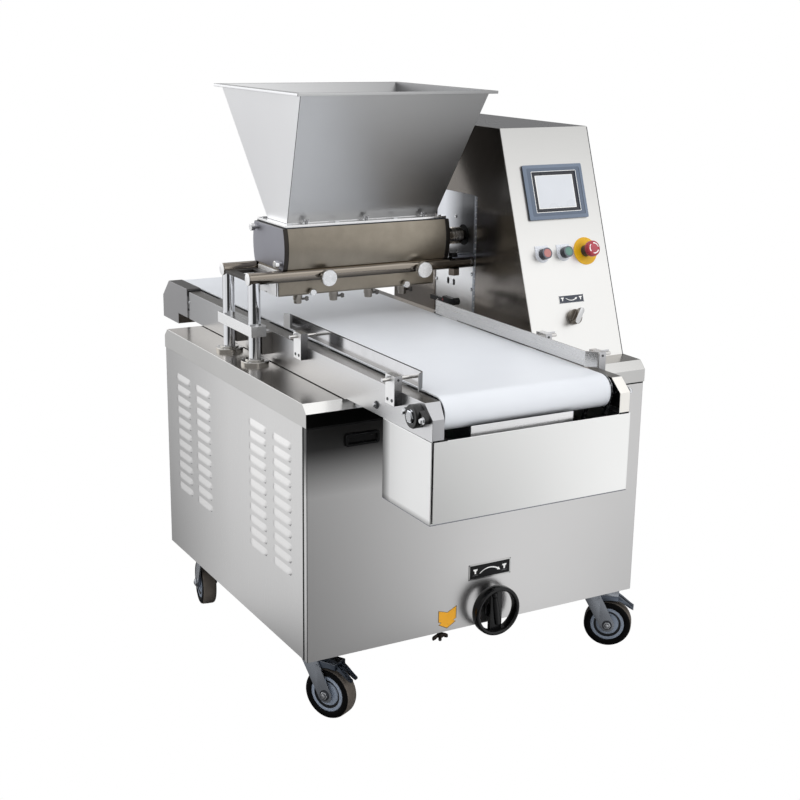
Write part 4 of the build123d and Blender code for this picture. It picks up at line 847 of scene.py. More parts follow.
remade(soften("hopper", 1.0), "hopper", "hopper_sheet", hopper_finish, "machine", hopper_pick)
dress("hopper_seal", coated("seal_rubber", (30, 33, 40), 0.5, 300, 0.1, 0.1))
nut_form = [(0, 0), (4, 0), (4.1, 0.8), (3.3, 5.4), (2.9, 5.8), (2, 5.8), (2, 9.4), (1.6, 10), (0, 10)]
nut_wing = [(2.8, 1.4), (6, 3.4), (8.6, 7.4), (8.2, 10.4), (6.2, 11.4), (4.4, 7.6), (2.8, 5.6)]
bm = bmesh.new()
for x in (-268, -104, 60):
    for y in flange_rows:
        spot = shift((x, y, flange_top))
        turned(bm, nut_form, spot, 24)
        wings(bm, nut_wing, 0.9, spot, 0.4)
settle(bm, "hopper_wing_nut_set", wing_steel, "machine", ["hopper_wing_nuts"])
piece("flange_clips", bright_bolt, "machine", "bright_steel",
      *[(plate, rounded(x - 7, x + 7, y - 2.5, y + 2.5, 1), 1119.9, 1122, laid, 0.5)
        for x in (-312, -186, -22, 104) for y in flange_rows])


# Tower: folded casing with a window on its left, the sloped front panel, and the drive plate behind the window.
# Satin stainless; the casing walls are polished, coloured dark as painted reflection and painted lighter toward the
# bottom, their tops painted darker as shade; the sloped panel has painted shade toward its top; the plate is bright and
# drilled, its upper front painted darker as shade.
casing_finish = [
    steel("casing_painted_reflection", (122, 117, 112), 0.22, (120, 120, 3), 0.06, 0.1, 0.02, 3.2, [("Z", 0.84, 0.98, 3.0, 1.0)]),
    steel("casing_top_painted_shade", (88, 88, 90), 0.26, (120, 120, 3), 0.05, 0.06, 0.02, 3.2)]
sloped_shaded_steel = steel("sloped_panel_painted_top_shade", (249, 248, 245), 0.36, (3, 200, 200), 0.03, 0.02, 0.01, 1.5,
                     [("Z", 1.0, 1.34, 1.0, 0.66)])
plate_grain = ((300, 300, 60), 0.03, 0.04, 0.01, 5)
plate_finish = [
    steel("drive_plate_polish", (246, 246, 246), 0.3, *plate_grain),
    steel("drive_plate_upper_painted_shade", (226, 228, 233), 0.3, *plate_grain, [("Y", 0.06, 0.15, 0.2, 1.0)])]
edge_blue = steel("window_edge", (176, 180, 188), 0.4, (200, 200, 3), 0.05, 0.08, 0.02, 12)
slope_in, slope_up, foot_y, foot_z = 0.33619, 0.94180, -302, 786.5
slope_face = Matrix(((1, 0, 0, 0), (0, slope_in, -slope_up, foot_y), (0, slope_up, slope_in, foot_z), (0, 0, 0, 1)))
shade_line = 1000
remade(soften("tower_casing", 1.2), "tower_casing", "tower_shell", casing_finish, "machine",
       lambda n, at: 1 if n.z > 0.9 else 0)
remade(soften("tower_front_panel", 0.5), "tower_front_panel", "tower_sloped_panel", sloped_shaded_steel, "machine")
bm = soften("drive_plate", 0.8)
bmesh.ops.bisect_plane(bm, geom=bm.verts[:] + bm.edges[:] + bm.faces[:], plane_co=(0, 0, shade_line),
                       plane_no=(0, 0, 1))
remade(bm, "drive_plate", "drive_plate_sheet", plate_finish, "machine",
       lambda n, at: 1 if at.z > shade_line else 0)
# Painted shade: a black ring in the shaft's bore.
piece("shaft_hole_shade_ring", painted_shade_black, "machine", "cast_dark",
      (turned, box(13.2, 26.9, 203.5, 204.5), feed_axis, 48, True))
piece("window_edge_strip", edge_blue, "machine", "tower_steel",
      (plate, box(-1, 5, 787, 1166), 202.1, 202.6, right_way),
      (plate, box(-11, -3, 787, 1166), 199.5, 200.1, right_way, 0.2))
# Painted shade: a dark strip along the sloped panel's right edge.
piece("panel_right_fold_shade", edge_and_fold_shade, "machine", "tower_steel", (plate, box(462.6, 465, 2, 590), -0.3, 0.08, slope_face))
screws("drive_plate_screws", [(202.5, y, z) for y, z in ((185, 924), (10, 963), (9, 923), (94, 1103), (80, 1008))],
       LEFT, 4.2, 3.0, 6, 5.6, "machine", "bright_steel")
screws("window_rivets", [(199.5, -8, 800 + 15.5 * k) for k in range(24)], LEFT, 2.3, 0.9, 10, 2.4,
       "machine", "bright_steel", lit_left_bright)
dress("feed_gearmotor", coated("motor_alloy", (150, 153, 156), 0.45, 260, 0.2, 0.06))


# Touch screen in the sloped panel: slate moulded bezel, black inner frame with a pale line, and the pane.
# The bezel is one rounded moulding clamped from behind, its side walls painted dark as shade and its chamfer painted
# lighter as light; the pane is switched off and pale.
def frame_row(half_wide, half_high, radius, height):
    # One outline of the screen's frame with its height
    return rounded(-half_wide, half_wide, -half_high, half_high, radius), height


slate = coated("slate_bezel", (86, 97, 113), 0.36, 420, 0.06, 0.05)
slate_wall_painted_shade = coated("slate_wall_painted_shade", (38, 42, 50), 0.4, 420, 0.06, 0.08)
slate_rim_painted_light = coated("slate_rim_painted_light", (103, 115, 132), 0.36, 420, 0.06, 0.05)
inner_black = coated("inner_bezel", (40, 41, 47), 0.3, 420, 0.03, 0.1)
pane = coated("pane_glass", (199, 202, 207), 0.3, 90, 0.0, 0.03, 0.2)
screen = slope_face @ shift((333, 427, 0))
bm = bmesh.new()
ringed(bm, [frame_row(89.5, 69, 3.5, 0), frame_row(89.5, 69, 3.5, 5.5), frame_row(80, 60.5, 3, 8),
            frame_row(67.4, 51.4, 3, 8), frame_row(66.4, 50.4, 2.5, 5), frame_row(66.4, 50.4, 2.5, 0)], screen)
for face in bm.faces:
    at = screen.inverted() @ face.calc_center_median()
    outside = abs(at.x) > 80.5 or abs(at.y) > 61
    face.material_index = 1 if at.z < 4 and outside else 2 if outside else 0
plate(bm, rounded(-74.5, 74.5, -54.5, 54.5, 3), -42, 0, screen)
plate(bm, rounded(78.6, 79.8, -59, 57, 0.3), 7.9, 8.06, screen, 0, 1)
settle(bm, "screen_bezel", [slate, slate_wall_painted_shade, slate_rim_painted_light], "machine", ["touch_screen"], 30)
piece("screen_inner_frame", inner_black, "machine", "gloss_black",
      (plate, rounded(-66.3, 66.3, -50.3, 50.3, 2.4), 4, 5.1, screen))
piece("screen_rim_line", print_white, "machine", "belt_white",
      (ringed, [frame_row(68, 52, 2.4, 7.9), frame_row(68, 52, 2.4, 8.1), frame_row(66.8, 50.8, 1.6, 8.1),
                frame_row(66.8, 50.8, 1.6, 7.9)], screen))
piece("screen_pane", [pane, print_white], "machine", "screen_slate",
      (plate, rounded(-56.8, 56.8, -42, 42, 0.8), 5.05, 5.5, screen, 0.2, 1),
      (plate, rounded(-54.6, 55, -40.4, 40.8, 0.8), 5.4, 5.6, screen))


# Control row under the screen: two lens buttons on white plates and the stop mushroom on its yellow disc.
# Moulded switches through round holes; collars dark grey, lenses frosted, mushroom with three turning marks.
legend_white = coated("legend_white", (214, 217, 223), 0.4, 400, 0.05, 0.02)
collar_grey = coated("collar_grey", (52, 54, 60), 0.32, 300, 0.06, 0.1)
collar_rim = coated("collar_rim", (104, 109, 119), 0.3, 300, 0.05, 0.06)
disc_yellow = coated("disc_yellow", (216, 166, 8), 0.42, 400, 0.05, 0.04)
lens_red = coated("lens_red", (177, 118, 114), 0.36, 300, 0.04, 0.06, 0.1)
lens_green = coated("lens_green", (96, 136, 124), 0.36, 300, 0.04, 0.06, 0.1)
stop_red = coated("stop_red", (158, 42, 54), 0.34, 300, 0.04, 0.06, 0.2)
stop_centre = coated("stop_centre", (166, 70, 80), 0.4, 300, 0.04, 0.05)
stop_x, start_x, row_v = 266.5, 331, 272
stop_place = slope_face @ shift((398, 273, 0))
plates = bmesh.new()
collars = bmesh.new()
for x in (stop_x, start_x):
    spot = slope_face @ shift((x, row_v, 0))
    bow = [(x + 20 * cos(radians(a)), row_v + 20 * sin(radians(a))) for a in range(180, 361, 12)]
    plate(plates, [(x + 20, 294), (x - 20, 294)] + bow, 0, 1.5, slope_face, 0.3)
    turned(plates, [(13.9, 1.4), (18.5, 1.4), (18.5, 4.2), (17.6, 5), (13.9, 5)], spot, 48, True)
    turned(collars, [(9.05, -44), (11, -44), (11, 0.5), (14, 0.5), (14, 22.4), (12.4, 22.4), (12.4, 13.5),
                     (9.05, 13.5)], spot, 40, True)
    turned(collars, [(11.1, 20.5), (14, 22.3), (14, 23.2), (13.4, 24), (11.1, 24)], spot, 40, True, 1)
turned(collars, [(9.05, -44), (11, -44), (11, 0.5), (14.5, 0.5), (14.5, 17.6), (13.6, 18.5), (9.05, 18.5)],
       stop_place, 40, True)
settle(plates, "legend_plates", legend_white, "machine", ["button_bases"])
piece("stop_disc", disc_yellow, "machine", "base_plastic",
      (turned, [(14, 0), (35, 0), (35, 1), (34.2, 1.6), (14, 1.6)], stop_place, 64, True))
settle(collars, "switch_collars", [collar_grey, collar_rim], "machine")
lens = [(0, -26), (9, -26), (9, 18), (10.7, 18), (10.7, 23.6), (10, 24.3), (0, 24.6)]
for node, x, colour, slot in (("stop_button", stop_x, lens_red, "button_red"),
                              ("start_button", start_x, lens_green, "button_green")):
    piece(node + "_lens", colour, node, slot, (turned, lens, slope_face @ shift((x, row_v, 0)), 40), nodes=[node])
mushroom = [(0, -24), (9, -24), (9, 25), (19, 25), (20, 26), (20, 33), (19.2, 36.2), (17.2, 38.2), (14.6, 39), (0, 39)]
piece("stop_mushroom", [stop_red, stop_centre], "estop_button", "button_red", (turned, mushroom, stop_place, 56),
      (turned, [(0, 39.15), (10.4, 39.1), (10.8, 38.9)], stop_place, 40, False, 1), nodes=["estop_button"], smooth=40)
mark_radius, mark_arc = 12.8, 72
bm = bmesh.new()
for k in range(3):
    start = 120 * k + 10
    plate(bm, arc_band((0, 0), mark_radius, start, start + mark_arc, 2.0, 2.8, 12), 38.98, 39.14, stop_place)
    a = radians(start + mark_arc)
    out = Vector((cos(a), sin(a)))
    go = Vector((-sin(a), cos(a)))
    tip = out * mark_radius
    plate(bm, [tuple(tip - out * 2.2), tuple(tip + out * 2), tuple(tip + go * 4)], 38.98, 39.14, stop_place)
settle(bm, "stop_turn_marks", print_white, "estop_button")


# Nozzle pictogram and the grip knob of the adjuster low on the sloped panel.
# The knob is a cast lever-shaped grip on a round base, satin chromed, beside a small stop pin.
print_slate = coated("print_slate", (58, 63, 73), 0.35, 600, 0.05, 0.06)
satin_chrome = steel("satin_chrome", (206, 206, 206), 0.2, 90, 0.05, 0.05, 0.02, 20)
grip_base = steel("grip_base", (128, 122, 115), 0.24, 90, 0.05, 0.1, 0.02, 30)
# Painted shade: the grip's lower faces turned to the left take a darker copy of its metal.
grip_shaded_side = steel("grip_shaded", (130, 124, 116), 0.22, 90, 0.05, 0.1, 0.02, 30)
pictogram("grip_pictogram", slope_face @ shift((332.5, 156, 0)), 75, 20, 0.9, -1, 17, 6.5, 3.2, 27.5, 0.72,
          (print_white, print_slate, print_white, line_grey),
          ("belt_white", "screen_slate", "belt_white", "grey_plastic"))
grip_place = slope_face @ shift((331, 110, 0)) @ Matrix.Rotation(radians(54), 4, "Z")
shaded_y = grip_place.translation.y - 0.94 * 13
grip_foot = [(0, -22), (6, -22), (6, 0.5), (18, 0.5), (19, 1.5), (19, 10.6), (17.6, 12), (0, 12)]
bm = bmesh.new()
turned(bm, grip_foot, grip_place, 48, False, 1)
plate(bm, rounded(-23, 23, -6.5, 6.5, 6.4, 8), 11.9, 28, grip_place, 2.6)
bm.normal_update()
for face in bm.faces:
    if face.calc_center_median().y < shaded_y and face.normal.x < -0.3:
        face.material_index = 2
settle(bm, "grip_knob", [satin_chrome, grip_base, grip_shaded_side], "adjust_knob", ["adjust_knob"], 40)
piece("grip_stop_pin", satin_chrome, "machine", "bright_steel",
      (turned, [(0, 0), (2.4, 0), (2.4, 5), (1.8, 5.8), (0, 5.8)], slope_face @ shift((356, 129, 0)), 20))


# Conveyor frames: two folded channels with chamfered front ends, and the take-up caps behind them.
# Satin stainless, folds left bright; the sides painted darker toward the rear, the top flanges and caps painted darker
# as shade, the front ends painted lighter on the right and darker on the left, the cross plate and the right channel's
# inner wall painted dark as shade; the cross tubes and slider bed between them stay under the belt.
lengthwise = (220, 3, 220)
cross_plate_shade = coated("cross_plate_painted_shade", (62, 54, 47), 0.5, 300, 0.1, 0.15)
frame_side_rear_shade = steel("frame_side_rear_shade", (219, 219, 220), 0.3, lengthwise, 0.03, 0.03, 0.015, 2, [("Y", -0.4, 0.5, 1.0, 0.62)])
frame_finish = [
    frame_side_rear_shade, steel("frame_top_painted_shade", (128, 125, 121), 0.3, lengthwise, 0.05, 0.04, 0.03, 2), cross_plate_shade,
    steel("frame_left_end_painted_shade", (198, 198, 200), 0.3, (3, 220, 220), 0.03, 0.05, 0.015, 4),
    steel("frame_right_end_painted_light", (250, 247, 241), 0.34, (3, 220, 220), 0.03, 0.02, 0.015, 4), painted_shade_black]
cap_finish = [
    steel("cap_side_painted_shade", (166, 165, 166), 0.34, lengthwise, 0.03, 0.05, 0.015, 4),
    steel("cap_top_painted_shade", (94, 92, 91), 0.36, lengthwise, 0.05, 0.04, 0.03, 2), cross_plate_shade]
frame_left, frame_right, end_narrowing = -368, 122, 8.5


def frame_pick(n, at):
    # Front ends painted light or shade, inner wall of the right channel painted black as shade, cross plate painted
    # dark as shade, top flanges painted darker as shade, and sides
    if at.y < -700 and n.y < -0.5:
        return 3 if at.x < -100 else 4
    if node == "conveyor_frames" and n.x < -0.5 and at.x > 90:
        return 5
    tie = 634 < at.y < 639 and at.z < 793 and -331.5 < at.x < 94.5
    return 2 if tie else 1 if n.z > 0.9 and at.z > top else 0


for node, name, top, finish in (("conveyor_frames", "conveyor_channels", 867, frame_finish),
                                ("take_up_caps", "take_up_boxes", 874.5, cap_finish)):
    bm = soften(node, 0.9)
    for vert in bm.verts:
        if vert.co.y < -730 and -345 < vert.co.x < -330:
            vert.co.x -= end_narrowing
    remade(bm, node, name, finish, "conveyor", frame_pick)
bm = bmesh.new()
lip_wide = 2.2
for x in (frame_left, frame_right - lip_wide):
    plate(bm, box(x, x + lip_wide, -384, 558), 792, 794.8)
    plate(bm, box(x, x + lip_wide, 557.5, 565.5), 794, 814)
settle(bm, "channel_lips", frame_side_rear_shade, "conveyor")
# Painted shade: black strips in the gaps behind the caps and at the frame ends.
piece("take_up_gap_shade", painted_shade_black, "conveyor", "cast_dark",
      *[(plate, box(x0, x1, 558.2, 564.8), 814, 868.2) for x0, x1 in ((-368.4, -334), (97, 122.4))])
piece("frame_end_gap_shades", painted_shade_black, "conveyor", "cast_dark",
      *[(plate, box(x0, x1, -755.15, -754.8), 793.4, 797) for x0, x1 in ((-367, -333), (96, 121))])
dress("belt_bed", steel("bed_steel", (170, 170, 168), 0.35, (3, 120, 120), 0.05))
screws("snub_washers", [(frame_left, -525, 815)], LEFT, 7.4, 4.0, 20, 9.0, "conveyor", "cast_dark", cast_dark)
screws("snub_bolts", [(-372, -525, 815)], LEFT, 4.8, 5.0, 6, 5.2, "conveyor", "cast_dark")
screws("snub_washers_right", [(frame_right, -525, 815)], RIGHT, 5.6, 1.4, 20, 6.4, "conveyor", "cast_dark", cast_dark)
screws("snub_bolts_right", [(frame_right, -525, 815)], RIGHT, 3.4, 4.0, 6, 3.6, "conveyor", "cast_dark")
screws("seam_screw", [(frame_left, 554, 839)], LEFT, 3.0, 2.4, 16, 3.6, "conveyor", "zinc_steel")
screws("seam_screw_right", [(frame_right, 554, 839)], RIGHT, 3.0, 2.4, 16, 3.6, "conveyor", "zinc_steel")


# Belt of white food-grade fabric over two crowned rollers.
# Woven polyester with a matt polyurethane face, joined endless, with painted shade dimming it toward the front end; the
# rollers are turned alloy on steel shafts.
belt_shaded_skin, tree, skin, spot = bare("belt_fabric_painted_shade")
weave, cross = [put(tree, "ShaderNodeTexWave", {"Vector": spot, "Scale": 240.0, "Distortion": 0.4},
                    bands_direction=way).outputs["Fac"] for way in "XY"]
white = mottled(tree, spot, 5.0, tone(224, 227, 232), tone(230, 233, 238))
run_at = axes(tree, spot)["Y"]
feed(tree, skin, {"Base Color": scaled(tree, white, span(tree, run_at, -0.3, -0.7, 1.0, 0.86)), "Roughness": 0.4,
                  "Normal": relief(tree, reckon(tree, "MULTIPLY", weave, cross), 0.12, 0.0003)})
dress("conveyor_belt", belt_shaded_skin)
roller_alloy = steel("roller_alloy", (190, 191, 193), 0.25, (3, 160, 160), 0.05, 0.05, 0.03, 10)
dress("front_roller", roller_alloy)
dress("rear_roller", roller_alloy)


# Flange bearings of the rollers: oval cast housings with a bright insert, bolted outside the front ends.
# Cast iron painted black, the front right housing coloured grey as painted light; steel insert, two hex bolts each; the
# rear pair sits inside the caps.
def disc_points(u, v, radius, steps=28):
    # Points of a circle
    return [(u + radius * cos(2 * pi * k / steps), v + radius * sin(2 * pi * k / steps)) for k in range(steps)]


casting_black = coated("casting_black", (7, 7, 8), 0.34, 200, 0.12, 0.12, 0.1)
casting_painted_light_grey = coated("casting_painted_light_grey", (120, 122, 126), 0.4, 200, 0.2, 0.1)
roller_y, roller_z, bolt_half = 702, 837, 36
rounds = disc_points(0, 0, 21) + disc_points(-bolt_half, 0, 9) + disc_points(bolt_half, 0, 9)
oval = [rounds[k] for k in convex_hull_2d(rounds)]
bm = bmesh.new()
inserts = bmesh.new()
for x, y, out, thick in ((frame_left, -roller_y, -1, 12), (frame_right, -roller_y, 1, 7), (-369, roller_y, 1, 0),
                         (123, roller_y, -1, 0)):
    spot = shift((x, y, roller_z)) @ (right_way if out > 0 else left_way)
    if thick:
        plate(bm, oval, 0, thick, spot, 1.4, 0 if out < 0 else 1)
    else:
        plate(bm, disc_points(0, 0, 23, 40), 0, 11, spot, 0.8)
        turned(bm, box(12, 21, 10, 17), spot, 44, True)
        turned(inserts, box(10.05, 12, 9, 17.5), spot, 44, True)
    if thick == 12:
        turned(bm, [(15, 0.4), (24, 0.4), (24.7, 1.4), (24.7, 17), (22.6, 20), (15, 20)], spot, 52, True)
        turned(inserts, box(10.1, 15, 10.5, 18), spot, 44, True)
        turned(inserts, [(10.1, 17.5), (14.2, 17.5), (14.2, 22.6), (13, 23.6), (10.1, 23.6)], spot, 6, True)
settle(bm, "bearing_housings", [casting_black, casting_painted_light_grey], "conveyor", ["bearing_units"])
settle(inserts, "bearing_inserts", nut_chrome, "conveyor")
for name, x, facing, sizes in (("bearing_bolts", -380, LEFT, (5.5, 8.0, 6, 7.5)),
                               ("bearing_bolts_right", 129, RIGHT, (7.0, 9.0, 6, 8.5))):
    spots = [(x, -roller_y - bolt_half, roller_z), (x, -roller_y + bolt_half, roller_z)]
    screws(name, spots, facing, *sizes, "conveyor", "zinc_steel")


# Guide rails beside the belt on thin rods, and the clamp blocks that hold the rods on the frames.
# Rails of polished strip with bent ends, blocks of milled alloy with a thin lever pin above each rod.
rail_grain = (120, 2, 120)
clamp_grain = (90, 0.06, 0.05, 0.03, 20)
rail_steel = steel("rail_polish", (216, 214, 211), 0.2, rail_grain, 0.05, 0.05, 0.02, 3)
rail_mirror_rear_shade = steel("rail_mirror_rear_shade", (222, 222, 224), 0.12, rail_grain, 0.03, 0.1, 0.02, 9,
                    [("Y", -0.24, -0.06, 1.0, 0.3)])
rail_pale = steel("rail_pale", (218, 217, 216), 0.26, rail_grain, 0.04, 0.03, 0.02, 3)
clamp_alloy = steel("clamp_alloy", (204, 205, 207), 0.3, *clamp_grain)
clamp_front_painted_shade = steel("clamp_front_painted_shade", (205, 205, 207), 0.3, *clamp_grain, [("Z", 0.845, 0.9, 0.28, 0.95)])


def rail_pick(n, at):
    # Nose of the front wing painted dark as shade, outer faces of the wings (painted near white as light on the left
    # rail), outer face of the strip (painted shade toward the rear on the left rail), the rest
    bent = at.y > -18 or at.y < -646
    if bent and n.y < -0.5 and n.x > 0.3:
        return 3
    return 0 if n.x >= -0.5 else 2 if bent else 1


for node, name, outer, wing in (("left_guide_rail", "left_rail_strip", rail_mirror_rear_shade, lit_left_bright),
                                ("right_guide_rail", "right_rail_strip", rail_pale, rail_pale)):
    remade(soften(node, 0.6), node, name, [rail_steel, outer, wing, edge_and_fold_shade], node, rail_pick)
# Painted shade: dark strips along the rails' top edges.
piece("left_rail_rim_shade", edge_and_fold_shade, "left_guide_rail", "conveyor_steel",
      (plate, box(-331.15, -328.9, -646, -17), 909.6, 911.1))
piece("right_rail_rim_shade", edge_and_fold_shade, "right_guide_rail", "conveyor_steel",
      (plate, box(78.9, 81.1, -646, -120), 875.9, 877.8))
# Painted light on the clamps' left faces, painted shade toward the foot of their front faces.
remade(soften("rail_clamps", 0.9), "rail_clamps", "clamp_blocks", [clamp_alloy, lit_left_bright, clamp_front_painted_shade], "conveyor",
       lambda n, at: 1 if n.x < -0.9 else 2 if n.y < -0.9 else 0)
# Painted shade: dark discs for the insides of the clamp slots and holes.
screws("clamp_slot_shade_marks", [(-386, y + d, 850) for y in (-613, -174) for d in (-9, 9)], LEFT, 3.6, 0.25, 16, 3.4,
       "conveyor", "cast_dark", cast_dark)
screws("clamp_hole_shade_marks", [(-377, -632, 894), (131, -643, 894), (131, -440, 894)], FRONT, 2.8, 0.25, 20, 2.6,
       "conveyor", "cast_dark", cast_dark)


# Drive box under the front of the conveyor with the belt gearmotor and chain inside it.
# Folded sheet, left open along the front corners, screwed under the channels; its hidden walls painted dark as shade,
# its left wall painted darker toward the rear and the foot, and painted shade lines along the lower edges.
box_grain = ((700, 700, 90), 0.015, 0.03, 0.006, 2)
box_finish = [
    steel("drive_box_satin", (248, 248, 246), 0.3, *box_grain),
    steel("drive_box_inner_painted_shade", (96, 95, 94), 0.5, (220, 220, 3), 0.05, 0.05, 0.03, 2),
    steel("crumb_strip", (250, 250, 250), 0.3, (3, 220, 220), 0.04, 0.02, 0.02, 3),
    steel("drive_box_left_painted_shade", (243, 243, 242), 0.3, *box_grain, [("Y", -0.590, -0.559, 1.0, 0.26),
                                                               ("Z", 0.619, 0.632, 0.4, 1.0)])]
lower_edge_shade = coated("drive_box_painted_shade_line", (104, 107, 114), 0.5, 300, 0.1, 0.1)


def box_pick(n, at):
    # Crumb strip, hidden walls painted dark as shade, left wall painted darker toward the rear and the foot, and the
    # rest
    if -754 < at.y < -739 and 767 < at.z < 822 and -272 < at.x < -14:
        return 2
    if n.y > 0.9 and at.y > -560 or n.z < -0.9 and at.z < 622:
        return 1
    return 3 if n.x < -0.9 and at.x < -369 else 0


bm = soften("drive_box", 0.7)
for vert in bm.verts:
    if vert.co.z > 812.5 and -28 < vert.co.x < -15 and -744 < vert.co.y < -738:
        vert.co.z = 812
remade(bm, "drive_box", "drive_box_sheet", box_finish, "conveyor", box_pick)
piece("drive_box_lower_shade_line", lower_edge_shade, "conveyor", "conveyor_steel",
      (plate, box(-369.4, 125.4, 619.2, 621.4), 754.4, 755.12, front_way),
      (plate, box(557.4, 754.6, 619.2, 620.6), 369.4, 370.12, left_way))
dress("belt_gearmotor", cast_dark)
chain, given = opened("chain_links", "Pitch", "Plate Height", "Plate Thickness", "Width")
tall, thin, wide = given["Plate Height"], given["Plate Thickness"], given["Width"]
half_high = reckon(chain, "MULTIPLY", tall, 0.5)
stretch = reckon(chain, "ADD", reckon(chain, "DIVIDE", given["Pitch"], tall), 0.75)
cheek = moved(chain, cone(chain, 14, half_high, half_high, thin), Scale={"X": stretch, "Y": 1.0, "Z": 1.0})
second = moved(chain, cheek, Translation={"Z": reckon(chain, "SUBTRACT", wide, thin)})
pin_wide = reckon(chain, "MULTIPLY", half_high, 0.62)
closed(chain, given, joined(chain, cheek, second, cone(chain, 12, pin_wide, pin_wide, wide)))
low_wheel = Vector((-650, 700))
top_wheel = Vector((-roller_y, roller_z))
way = (top_wheel - low_wheel).normalized()
off = Vector((-way.y, way.x))
run = (top_wheel - low_wheel).length
bend_r, links, chain_x = 29.4, 38, 85.7
half_loop = run + pi * bend_r
link_spots, link_turns = [], []
for k in range(links):
    back, d = divmod(2 * half_loop * k / links, half_loop)
    start, end, side = (top_wheel, low_wheel, -1) if back else (low_wheel, top_wheel, 1)
    a = max(0, d - run) / bend_r
    if d < run:
        at_yz = start - off * bend_r * side + way * d * side
    else:
        at_yz = end - off * bend_r * side * cos(a) + way * bend_r * side * sin(a)
    go = (way * cos(a) + off * sin(a)) * side
    link_spots.append((chain_x, at_yz.x, at_yz.y))
    lie = Matrix(((0, 0, 1), (go.x, -go.y, 0), (go.y, go.x, 0)))
    link_turns.append(tuple(lie.to_euler()))
made = grown(chain, link_spots, link_turns, (0.0125, 0.0082, 0.0011, 0.0056, drawn_bar), "roller_chain", "conveyor")
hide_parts("drive_chain")


# Linear bush block on the columns with the two posts that carry the conveyor from it.
# Milled alloy block, brushed, its left and front faces painted lighter as light; posts of dark burnished steel.
bush_finish = [
    steel("bush_block_alloy", (208, 208, 208), 0.26, (160, 3, 160), 0.06, 0.05, 0.03, 6),
    steel("burnished_post", (150, 147, 144), 0.32, (60, 60, 3), 0.06, 0.08, 0.03, 10),
    steel("bush_block_painted_light_face", (248, 248, 248), 0.3, (160, 3, 160), 0.05, 0.02, 0.02, 6)]
remade(soften("bush_block", 1.0), "bush_block", "bush_block_body", bush_finish, "conveyor",
       lambda n, at: 1 if at.x > -389.5 or at.z < 859 else 2 if n.x < -0.9 or n.y < -0.9 else 0)


# Tray sensor on the right frame: a black light switch on a long flat bar above a bent foot.
# Moulded housing with a clear red window and a round adjuster, on dark sheet.
remade(soften("tray_sensor", 0.7), "tray_sensor", "tray_sensor_case", latch_black, "conveyor")
screws("sensor_window", [(108, -3, 907)], LEFT, 2.4, 0.5, 20, 2.6, "conveyor", "button_red", stop_red)


# Studio: a white ground that isn't seen itself, a large soft light in front on the right, a wide one above.
# What polished faces see of the ground is graded from side to side, as with cards laid round the machine.
ground = bpy.data.meshes.new("studio_floor")
ground.from_pydata([(-9, -9, 0), (9, -9, 0), (9, 9, 0), (-9, 9, 0)], [], [(0, 1, 2, 3)])
floor = bpy.data.objects.new("studio_floor", ground)
bpy.context.scene.collection.objects.link(floor)
pale = bpy.data.materials.new("pale_floor")
pale.use_nodes = True
tree = pale.node_tree
tree.nodes.clear()
spot = put(tree, "ShaderNodeTexCoord").outputs["Object"]
place = axes(tree, spot)
far = put(tree, "ShaderNodeVectorMath", {0: spot}, operation="LENGTH").outputs["Value"]


def graded(value, low, high, stops):
    # A strength read from stops along a value, as shares of the strongest one
    held = put(tree, "ShaderNodeValToRGB", {"Fac": span(tree, value, low, high)})
    elements = held.color_ramp.elements
    top = max(strength for at, strength in stops)
    for at, strength in stops[1:-1]:
        elements.new((at - low) / (high - low))
    for element, (at, strength) in zip(elements, stops):
        element.position = (at - low) / (high - low)
        element.color = (strength / top, strength / top, strength / top, 1.0)
    return reckon(tree, "MULTIPLY", held.outputs["Color"], top)


def fan(from_x, from_y, sign):
    # Slope of the line from a point on the ground to the place lit
    sideways = reckon(tree, "SUBTRACT", place["X"], from_x)
    deep = reckon(tree, "MULTIPLY", reckon(tree, "SUBTRACT", place["Y"], from_y), sign)
    return reckon(tree, "DIVIDE", sideways, deep)


def blend(share, first, second):
    # From one strength to another
    return put(tree, "ShaderNodeMix", {"Factor": share, "A": first, "B": second}, data_type="FLOAT").outputs[0]


eye_x, eye_y, eye_z = -1.7105, -2.9787, 1.5938
front_fan = fan(eye_x, 2.2067, -1.0)
bright_end = [(0.621, 0.84), (0.66, 1.1), (0.698, 1.1), (0.737, 1.045), (0.775, 0.968), (0.806, 0.89), (0.833, 0.81)]
near_card = graded(front_fan, -1.2, 0.85, [
    (-1.2, 0.9), (-0.55, 0.9), (-0.45, 0.05), (0.3, 0.06), (0.45, 0.29), (0.484, 0.36), (0.511, 0.445), (0.544, 0.535),
    (0.583, 0.66)] + bright_end)
far_card = graded(front_fan, -1.2, 0.85, [
    (-1.2, 0.9), (-0.55, 0.9), (-0.45, 0.035), (0.36, 0.035), (0.42, 0.85), (0.5, 0.8), (0.583, 0.75)] + bright_end)
front_card = blend(span(tree, place["Y"], -3.0, -3.5), near_card, far_card)
front_card = reckon(tree, "MULTIPLY", front_card, span(tree, place["Y"], -0.87, -1.5, 0.85, 1.0))
side_card = graded(place["X"], -1.6, -0.6, [(-1.5, 0.95), (-1.22, 0.93), (-1.0, 0.86), (-0.83, 0.75), (-0.65, 0.68)])
side_fan = graded(fan(0.7805, eye_y, 1.0), -0.45, -0.35, [
    (-0.4466, 1.0), (-0.4, 1.0), (-0.381, 0.76), (-0.366, 0.58), (-0.352, 0.44)])
side_card = reckon(tree, "MULTIPLY", side_card, side_fan)
card = blend(span(tree, place["Y"], -0.6, 0.3), front_card, side_card)
card = reckon(tree, "MULTIPLY", card, span(tree, far, 0.45, 0.8, 0.1, 1.0, "SMOOTHSTEP"))
cool_white = (0.985, 0.99, 1.0, 1.0)
mirrored = put(tree, "ShaderNodeEmission", {"Color": cool_white, "Strength": card})
matt = put(tree, "ShaderNodeBsdfDiffuse", {"Color": (1.0, 1.0, 1.0, 1.0)})
